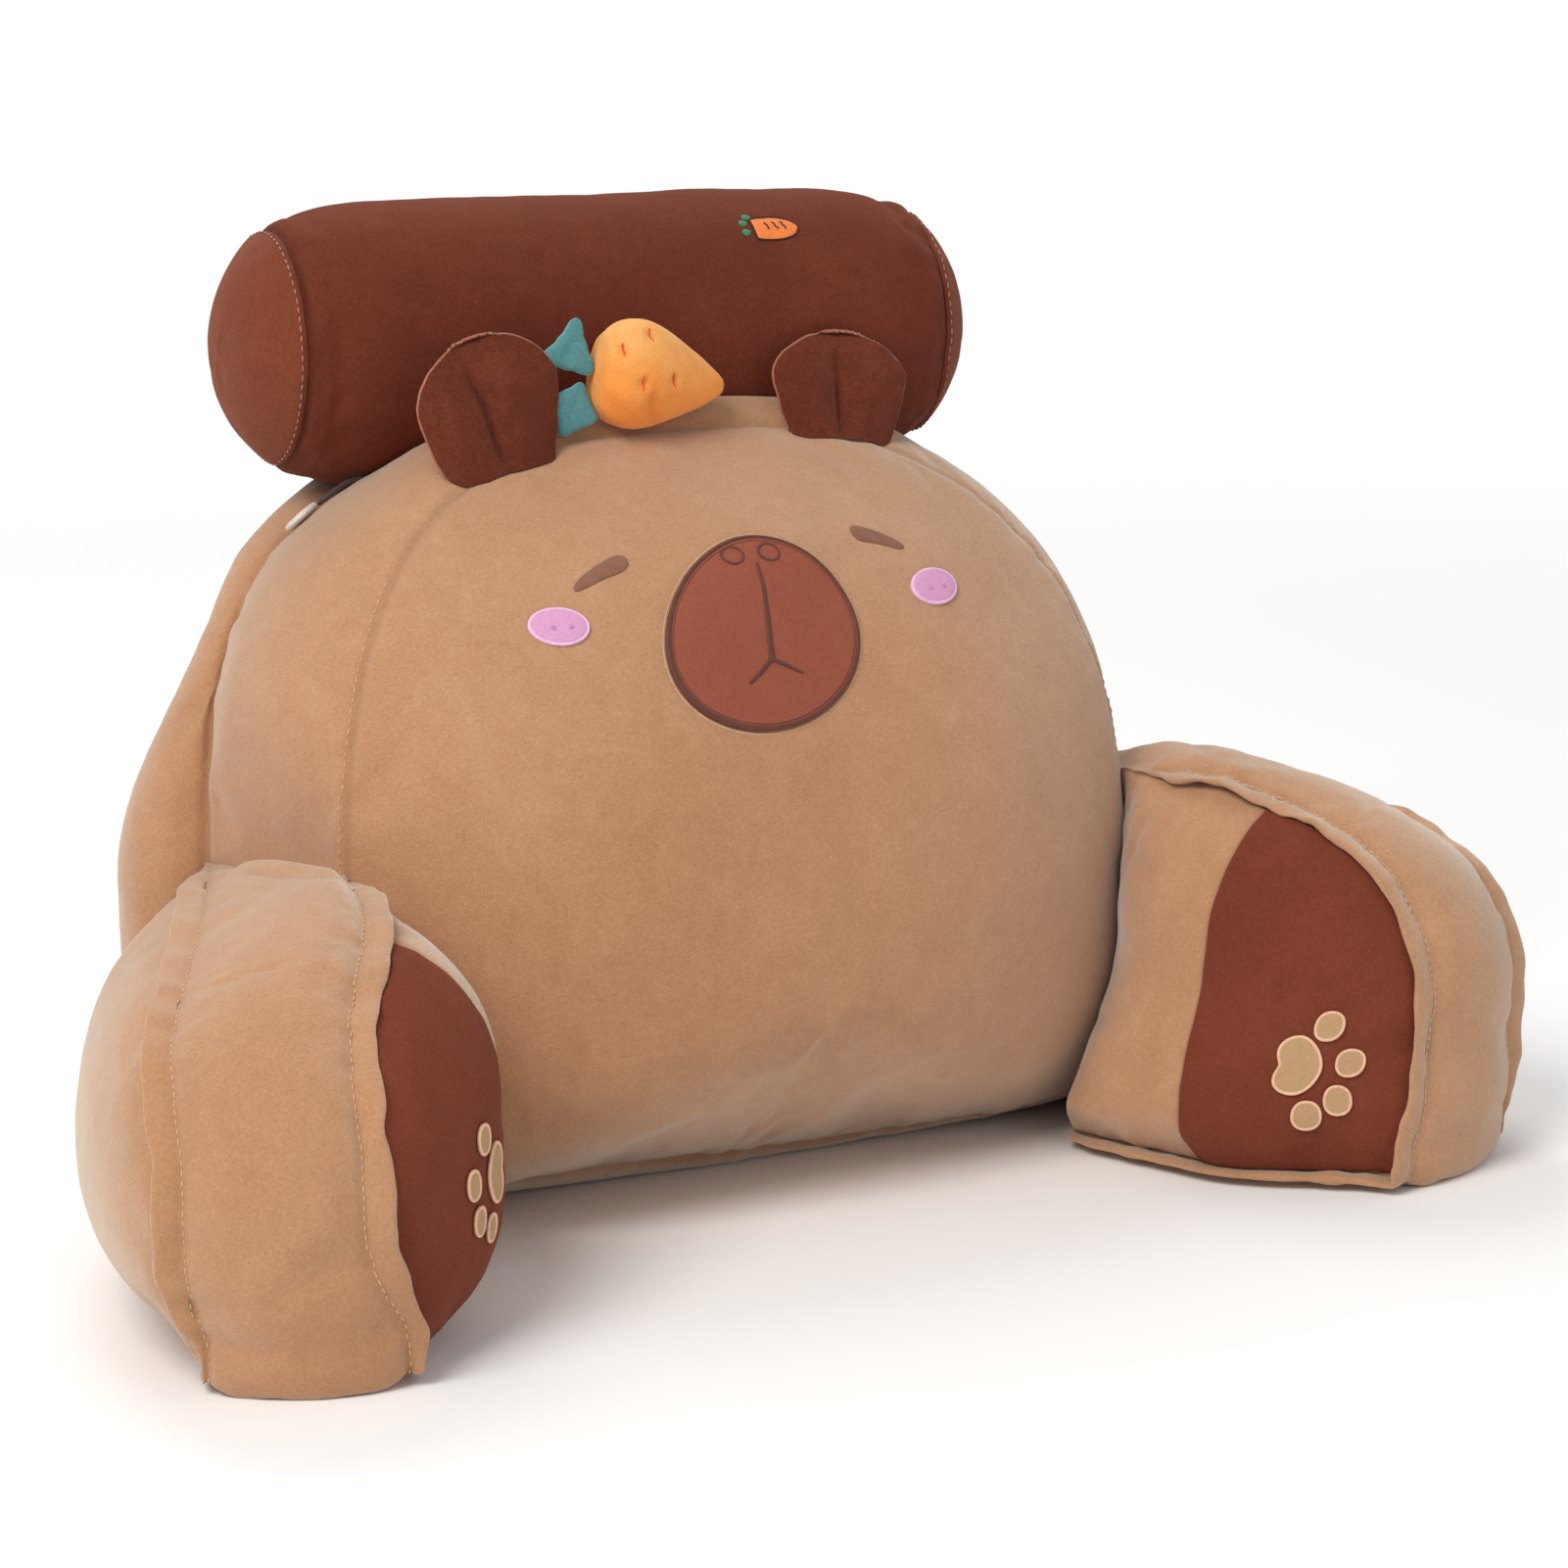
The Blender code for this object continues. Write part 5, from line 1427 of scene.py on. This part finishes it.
def build_ear(word, side, tree, paint, rim_paint):
    """A flat stuffed ear, folded together a little at its foot."""
    ear_x = EAR_X[side]
    base_z = seat_height(tree, side * ear_x, seam_y(ear_x, FACE_TOP))
    base_y = seam_y(ear_x, base_z) - EAR_SET_FORWARD
    high, low = EAR_CREASE[side]
    tilt = EAR_TILT_OUT[side]

    def ear_face(face):
        def place(a, b):
            rise = sin(0.5 * pi * b)
            across = (2.0 * a - 1.0) * ear_half_width(rise, side)
            edge = max(0.0, 1.0 - abs(2.0 * a - 1.0) ** 3.0)
            half = 0.5 * EAR_THICKNESS * (edge * max(0.0, 1.0 - rise ** 4)) ** 0.5
            height = rise * EAR_HEIGHT[side]
            x = side * (ear_x + height * sin(tilt)) + across * cos(tilt)
            crease = low + (high - low) * rise
            fold = exp(-((a - crease) / 0.10) ** 2) * fall(0.50, 0.95, rise)
            ridge = sum(exp(-((a - crease - aside) / 0.13) ** 2) for aside in (0.20, -0.20))
            ridge *= fall(0.45, 0.95, rise)
            if face < 0.0:
                half += (0.0014 * ridge - 0.0032 * fold) * smooth(0.0, 0.35, rise)
            cup = -0.004 * (2.0 * a - 1.0) ** 2 * rise
            y = base_y + height * sin(EAR_TILT_BACK[side]) + face * half + cup
            top = base_z + height * cos(EAR_TILT_BACK[side]) - side * across * sin(tilt)
            foot = seat_height(tree, x, y) + 0.0004
            return Vector((x, y, foot + (top - foot) * smooth(0.0, 0.5, rise)))
        return place

    front = ear_face(-1.0)
    back = ear_face(1.0)
    steps = spaced(30, 0.5)
    ear = patched(f"pillow_ear_{word}", "ear_plush", paint, (front, steps, even(24)), (back, steps, even(24)),
                  (lambda a, b: front(a, 0.0).lerp(back(a, 0.0), b), steps, (0.0, 0.5, 1.0)))
    refine(ear)
    crease = [front(low + (high - low) * t * 0.8, t * 0.62) for t in even(10)]
    rim = [front(0.0, t) for t in even(24)[1:]] + [front(1.0, 1.0 - t) for t in even(24)[:-1]]
    # the crease is darkened deeply with painted shade, the rim seam not at all
    relief(ear, [
        seam_line(crease, 0.0022, 0.0014, taper=True, painted_shade=0.8),
        seam_line(rim, 0.0007, 0.0016, 0.0010, 0.008, 0.007, painted_shade=0.0, seed=17 + side),
    ], 0.0012, 13 + side, floor=False)
    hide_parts(f"ear_{word}")
    seam = satin_path(bmesh.new(), rim, surface_tree(ear), 0.0015, 0.0005)
    close_skin(f"pillow_ear_{word}_seam", seam, rim_paint)


def carrot_profile(share):
    if share >= 1.0:
        return 0.0
    blunt = (1.0 - (1.0 - min(1.0, share / CARROT_WIDEST)) ** CARROT_BLUNTNESS) ** 0.5
    taper = 1.0 - max(0.0, (share - CARROT_WIDEST) / (1.0 - CARROT_WIDEST)) ** CARROT_TAPER_POWER
    knob = CARROT_TIP * smooth(0.55, 0.92, share)
    end = sqrt(max(0.0, 1.0 - (max(0.0, share - 0.95) / 0.05) ** 2))
    return CARROT_RADIUS * blunt * ((1.0 - knob) * taper + knob) * end


DASH_HALF_LENGTH = 0.0036
CARROT_DASHES = (           # place along and across it, and slant in degrees
    (-0.0186, 0.0090, 113.0),
    (-0.0058, 0.0178, 120.0),
    (-0.0055, -0.0053, 98.0),
    (0.0103, -0.0018, 102.0),
)


def build_carrot(paint, dash_paint):
    """The stuffed carrot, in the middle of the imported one's box."""
    middle = packed_middle("carrot")
    axis = Vector((cos(CARROT_DROOP), 0.0, -sin(CARROT_DROOP)))
    up = Vector((sin(CARROT_DROOP), 0.0, cos(CARROT_DROOP)))
    back = Vector((0.0, 1.0, 0.0))

    def shape(a, b):
        share = 0.5 - 0.5 * cos(pi * b)
        turn = 2.0 * pi * (a % 1.0)
        gather = 0.035 * sin(turn * 9.0 + 1.0) * fall(0.05, 0.32, share)
        gather += 0.10 * sin(turn * 5.0) * smooth(0.80, 1.0, share)
        radius = carrot_profile(share) * (0.985 + gather)
        along = CARROT_LENGTH * (share - 0.5)
        along += 0.0028 * exp(-(share / 0.05) ** 2)
        side = back * CARROT_FLATNESS * radius * sin(turn)
        return middle + axis * along + up * radius * cos(turn) + side

    carrot = patched("stuffed_carrot", "orange_plush", paint, (shape, even(48), even(44)))
    refine(carrot)

    tree = surface_tree(carrot)
    slope = Vector((0.479, 0.854, -0.204)).normalized()

    def on_skin(along, across):
        place = middle + axis * along + up * across
        return tree.ray_cast(place - slope * 0.1, slope)[0] or place

    dashes = []
    for along, across, slant in CARROT_DASHES:
        reach = [DASH_HALF_LENGTH * share(radians(slant)) for share in (cos, sin)]
        dashes.append([on_skin(along - reach[0] * t, across - reach[1] * t) for t in np.linspace(-1, 1, 7)])
    pull = [on_skin(0.003 * t, -0.008 - 0.014 * t) for t in even(8)]
    # the dashes and the pull, darkened in their grooves with painted shade
    lines = [seam_line(dash, 0.0016, 0.0024, taper=True, painted_shade=0.25) for dash in dashes]
    lines.append(seam_line(pull, 0.0024, 0.0030, 0.0010, 0.010, 0.006, taper=True, painted_shade=0.30))
    relief(carrot, lines, 0.0010, 19, floor=False)
    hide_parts("carrot")
    tree = surface_tree(carrot)
    mesh = bmesh.new()
    for dash in dashes:
        satin_path(mesh, dash, tree, 0.0012, 0.0006, taper=True)
    close_skin("stuffed_carrot_dashes", mesh, dash_paint)


LEAF_COLUMNS = ("name", "radius", "points", "depth", "first")   # first: its first point's direction
LEAF_ROWS = (
    ("leaf_upper", 0.0118, 3, 0.27, 74.0),
    ("leaf_lower", 0.0118, 4, 0.14, -25.0),
)


def build_leaves(paint, rim_paint):
    for row in LEAF_ROWS:
        leaf = dict(zip(LEAF_COLUMNS, row))
        middle = packed_middle(leaf["name"])
        first = radians(leaf["first"])

        def lay(a, b, face):
            share, angle = square_to_round(a, b)
            turn = leaf["points"] * (angle - first)
            lobe = 1.0 + leaf["depth"] * (cos(turn) + 0.30 * cos(2.0 * turn))
            reach = share * leaf["radius"] * lobe
            half = 0.5 * LEAF_THICKNESS * max(0.0, 1.0 - share ** 3.0) ** 0.5
            vein = 0.0010 * share * (1.0 - share) * cos(turn)
            curl = 0.0009 * sin(angle * 2.0) * share
            return middle + Vector((reach * cos(angle), face * (half - vein) + curl,
                                    reach * sin(angle)))

        piece = patched(f"carrot_{leaf['name']}", "teal_plush", paint,
                        (lambda a, b: lay(a, b, -1.0), even(20), even(20)),
                        (lambda a, b: lay(a, b, 1.0), even(20), even(20)))
        refine(piece)
        relief(piece, [], 0.0008, 29, floor=False)
        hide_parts(leaf["name"])
        edge = [lay(*edge_of_square(k / 96.0), 0.0) for k in range(96)]
        seam = satin_path(bmesh.new(), edge, surface_tree(piece), 0.0011, 0.0004, closed=True, bury=-0.0002)
        close_skin(f"carrot_{leaf['name']}_seam", seam, rim_paint)


def edge_of_square(a):
    """Walk once round the unit square as a goes from 0 to 1."""
    side = min(3, int(a * 4.0))
    part = a * 4.0 - side
    return ((part, 0.0), (1.0, part), (1.0 - part, 1.0), (0.0, 1.0 - part))[side]


# ---------------------------------------- face
def oval_place(share, angle, x0, z0, half_width, half_height, egg=0.0, shear=0.0):
    """Across and up in an egg shape, at a share of the way to its edge."""
    rise = share * half_height * sin(angle)
    narrow = 1.0 - egg * sin(angle)
    return x0 + share * half_width * narrow * cos(angle) + shear * rise, z0 + rise


def on_face(tree, x, z):
    """The cloth of the face at a place across and up, and the direction out of it."""
    hit, out, _, _ = tree.ray_cast(Vector((x, -0.25, z)), Vector((0.0, 1.0, 0.0)))
    return hit, out if out.y < 0.0 else -out


EYE_SPAN = {1: (0.0592, 0.0258), -1: (0.0590, 0.0296)}     # inner end and length
EYE_Z = {1: 0.3052, -1: 0.3030}
LINE_X = -0.0068            # the line down the middle of the nose patch
NOSE_LINE = ((0.0062, 0.2970), (0.0056, 0.2860), (0.0041, 0.2740), (0.0024, 0.2640), (0.0014, 0.2560))
MOUTH_LINES = (
    ((0.0012, 0.2565), (-0.0060, 0.2515), (-0.0135, 0.2475)),
    ((0.0012, 0.2565), (0.0080, 0.2530), (0.0150, 0.2492)),
)


def build_face(cushion_tree, looks):
    def at(x, z):
        return on_face(cushion_tree, x, z)[0]

    def oval(*shape):
        def lay(a, b, height):
            share, angle = square_to_round(a, b)
            seat, out = on_face(cushion_tree, *oval_place(share, angle, *shape))
            return seat + out * (0.0004 + height + 0.0012 * (1.0 - share ** 4))
        return lay

    def rim(share, *shape):
        return [at(*oval_place(share, angle, *shape)) for angle in turns(120)[:-1]]

    def on_nose(x, z):
        seat, out = on_face(cushion_tree, LINE_X + x, z)
        return seat + out * 0.0032

    nose = (NOSE_X, NOSE_Z, NOSE_HALF_WIDTH, NOSE_HALF_HEIGHT, NOSE_EGG, NOSE_SHEAR)
    patch = sheet_skin("nose_applique", oval(*nose), 0.0012, even(56), even(56), "nose_plush",
                       looks["nose"])
    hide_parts("nose_patch")
    tree = surface_tree(patch)
    mesh = satin_path(bmesh.new(), rim(0.975, *nose), cushion_tree,
                      lambda share: 0.0019 + 0.0014 * exp(-((share - 0.58) / 0.14) ** 2), 0.0008,
                      closed=True, bury=0.0015)
    satin_path(mesh, rim(0.935, *nose), cushion_tree, 0.0005, 0.0003, closed=True, bury=0.0018)
    line = [on_nose(*place) for place in NOSE_LINE]
    satin_path(mesh, line, tree, lambda share: 0.0013 + 0.0023 * share, 0.0008)
    for places in MOUTH_LINES:
        branch = [on_nose(*place) for place in places]
        satin_path(mesh, branch, tree, lambda share: 0.0026 - 0.0012 * share, 0.0008)
    for side in (-1, 1):
        nostril = (0.0052 + side * 0.0092, 0.3010, 0.0052, 0.0034)
        ring = [on_nose(*oval_place(1.0, angle, *nostril)) for angle in turns(48)[:-1]]
        satin_path(mesh, ring, tree, lambda share: 0.0009 + 0.0007 * sin(pi * share), 0.0006,
                   closed=True)
    close_skin("nose_embroidery", mesh, looks["nose_line"])
    mesh = satin_path(bmesh.new(), rim(1.020, *nose), cushion_tree, 0.0005, 0.0001, closed=True)
    close_skin("nose_edge_stitches", mesh, looks["tan_thread"])
    for word, side in (("left", -1), ("right", 1)):
        build_cheek(word, (CHEEK_X[side], CHEEK_Z, CHEEK_HALF_WIDTH, CHEEK_HALF_HEIGHT), oval, rim,
                    cushion_tree, looks)
        build_eye(word, side, at, cushion_tree, looks["eye"])


def build_cheek(word, shape, oval, rim, cushion_tree, looks):
    piece = sheet_skin(f"cheek_applique_{word}", oval(*shape), 0.0009, even(24), even(24),
                       "cheek_cloth", looks["cheek"])
    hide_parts(f"cheek_{word}")
    tree = surface_tree(piece)
    mesh = satin_path(bmesh.new(), rim(0.95, *shape), cushion_tree, 0.0016, 0.0006, closed=True, bury=0.0012)
    close_skin(f"cheek_{word}_border", mesh, looks["cheek_rim"])
    mesh = bmesh.new()
    for dx in (-0.0040, 0.0040):
        seat, out = on_face(tree, shape[0] + dx, shape[1])
        add_capsule(mesh, seat, Vector((0.4, 0.0, 1.0)).normalized(), out, 0.0014, 0.0012, 0.35, sides=8)
    close_skin(f"cheek_{word}_dots", mesh, looks["cheek_dot"])


def build_eye(word, side, at, cushion_tree, paint):
    """A closed eye: a thick slanting stroke that thins outwards."""
    start, length = EYE_SPAN[side]

    def spot(u, v):
        bend = 0.0010 * sin(pi * u / length)
        return at(side * (start + u), EYE_Z[side] - 0.34 * u + bend + v)

    def limits(u):
        share = min(1.0, max(0.0, u / length))
        half = (0.0039 - 0.0017 * share) * (1.0 - abs(2.0 * share - 1.0) ** 5) ** 0.5
        return -half, half

    mesh = satin_fill(bmesh.new(), cushion_tree, spot, limits, 0.0003, length - 0.0003, 0.0011)
    close_skin(f"eye_{word}", mesh, paint)


# ---------------------------------------- buttons and loops
BUTTON_RADIUS = 0.0095
BUTTON_COLUMNS = ("height", "radius")   # shares of its thickness and radius
BUTTON_ROWS = (
    (0.0, 0.0), (0.0, 0.5), (0.0, 0.80), (0.12, 0.93), (0.35, 1.0), (0.65, 1.0), (0.88, 0.93), (1.0, 0.82),
    (0.96, 0.70), (0.80, 0.62), (0.78, 0.40), (0.86, 0.15), (0.88, 0.0),
)


def build_button(word, paint):
    """A round button with a raised rim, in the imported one's place and along its axis."""
    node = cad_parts[f"button_{word}"]
    places = np.array([node.matrix_world @ v.co for v in node.data.vertices])
    middle = places.mean(axis=0)
    _, _, axes = np.linalg.svd(places - middle)
    out = Vector(axes[2])
    if out.z < 0.0:
        out = -out
    across = Vector(axes[0])
    up = out.cross(across)
    heights = (places - middle) @ np.array(out)
    foot = Vector(middle) + out * float(heights.min()) + Vector((0.0, DEPTH_TO_MIDDLE, 0.0))
    thickness = float(heights.max() - heights.min())

    def point(a, b):
        row = dict(zip(BUTTON_COLUMNS, BUTTON_ROWS[round(b * (len(BUTTON_ROWS) - 1))]))
        turn = 2.0 * pi * (a % 1.0)
        spoke = across * cos(turn) + up * sin(turn)
        return foot + spoke * BUTTON_RADIUS * row["radius"] + out * thickness * row["height"]

    button = patched(f"round_button_{word}", "button_cloth", paint,
                     (point, even(40), even(len(BUTTON_ROWS) - 1)))
    refine(button)
    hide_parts(f"button_{word}")


def finish_loop(word, paint):
    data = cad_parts[f"loop_{word}"].data
    data.materials.clear()
    data.materials.append(paint)
    data.shade_smooth()


# ---------------------------------------- all of it
def make_looks():
    return {
        "tan": plush("tan_plush", "90613F B68560 D1A785", 0.62, (0.95, 1.0, 0.93)),
        "bolster": plush("bolster_plush", "451C13 662F20 854631", 0.28, srgb("C08468")),
        "cap": plush("bolster_cap_plush", "562619 763C29 96563E", 0.32, srgb("C9937A")),
        "ear": plush("ear_plush", "3E190F 612D1F 8B4934", 0.35, srgb("C78A70"), mottle=1.4),
        "panel": plush("panel_plush", "522319 733828 8E4A37", 0.25, srgb("C08468")),
        "nose": plush("nose_plush", "7A4030 955240 A8654F", 0.25, mottle=0.6),
        "beige": plush("beige_plush", "A07D5A B8946F CBAC88", 0.15, mottle=0.6),
        "cheek": plush("cheek_cloth", "BC7FA8 D79CC2 E6B6D4", 0.10, mottle=0.5),
        "carrot": plush_painted_lit_above("carrot_plush", CARROT_TONES_PAINTED_LIT_ABOVE, 0.3615, 0.4065),
        "leaf": plush("leaf_plush", "3C6668 588F92 82B5B6", 0.35, srgb("A8D4D4"), mottle=1.3),
        "tan_thread": thread("tan_thread", "D2AE88"),
        "brown_thread": thread("brown_thread", "A5735A"),
        "nose_line": thread("nose_line_thread", "5E3428", sheen=0.1),
        "eye": thread("eye_thread", "8A5E49", sheen=0.1),
        "cheek_rim": thread("cheek_rim_thread", "E8BCDC"),
        "cheek_dot": thread("cheek_dot_thread", "C383B4"),
        "pad_rim": thread("pad_rim_thread", "E8B896"),
        "ear_rim": thread("ear_rim_thread", "A4634D"),
        "leaf_rim": thread("leaf_rim_thread", "6FA5A8"),
        "dash": thread("carrot_dash_thread", "D9572A"),
        "orange_thread": thread("orange_thread", "E77B33"),
        "outline": thread("outline_thread", "3A1610", sheen=0.1),
        "green": thread("green_thread", "2F7F55"),
        "button": thread("button_cloth", "D9D0C9", sheen=0.4, roughness=0.7),
        "loop": thread("loop_cord", "4A3F3C"),
    }


def main():
    add_camera()
    add_lamps()
    add_surroundings()
    add_floor()
    looks = make_looks()
    cushion, front = build_back_cushion(looks["tan"])
    tree = surface_tree(cushion)
    runs = []
    for side in (-1, 1):
        runs.append([p + Vector((0.0, 0.0045, 0.0)) for p in front if 0.02 < p.z < 0.30 and p.x * side > 0.0])
    sew("face_seam_topstitch", runs, tree, looks["tan_thread"], pitch=0.0048,
        length=0.0026, radius=0.00032, seed=4)
    bolster_tree = build_bolster(looks["bolster"], looks["cap"], looks["brown_thread"])
    build_bolster_motif(bolster_tree, looks["orange_thread"], looks["outline"], looks["green"])
    for word, side in (("left", -1), ("right", 1)):
        arm_tree = build_arm(word, side, tree, looks["tan"], looks["tan_thread"])
        build_arm_panel(word, side, arm_tree, looks["panel"], looks["brown_thread"])
        build_paw(word, side, arm_tree, looks["beige"], looks["pad_rim"])
        build_ear(word, side, tree, looks["ear"], looks["ear_rim"])
        build_button(word, looks["button"])
        finish_loop(word, looks["loop"])
    build_carrot(looks["carrot"], looks["dash"])
    build_leaves(looks["leaf"], looks["leaf_rim"])
    build_face(tree, looks)


main()
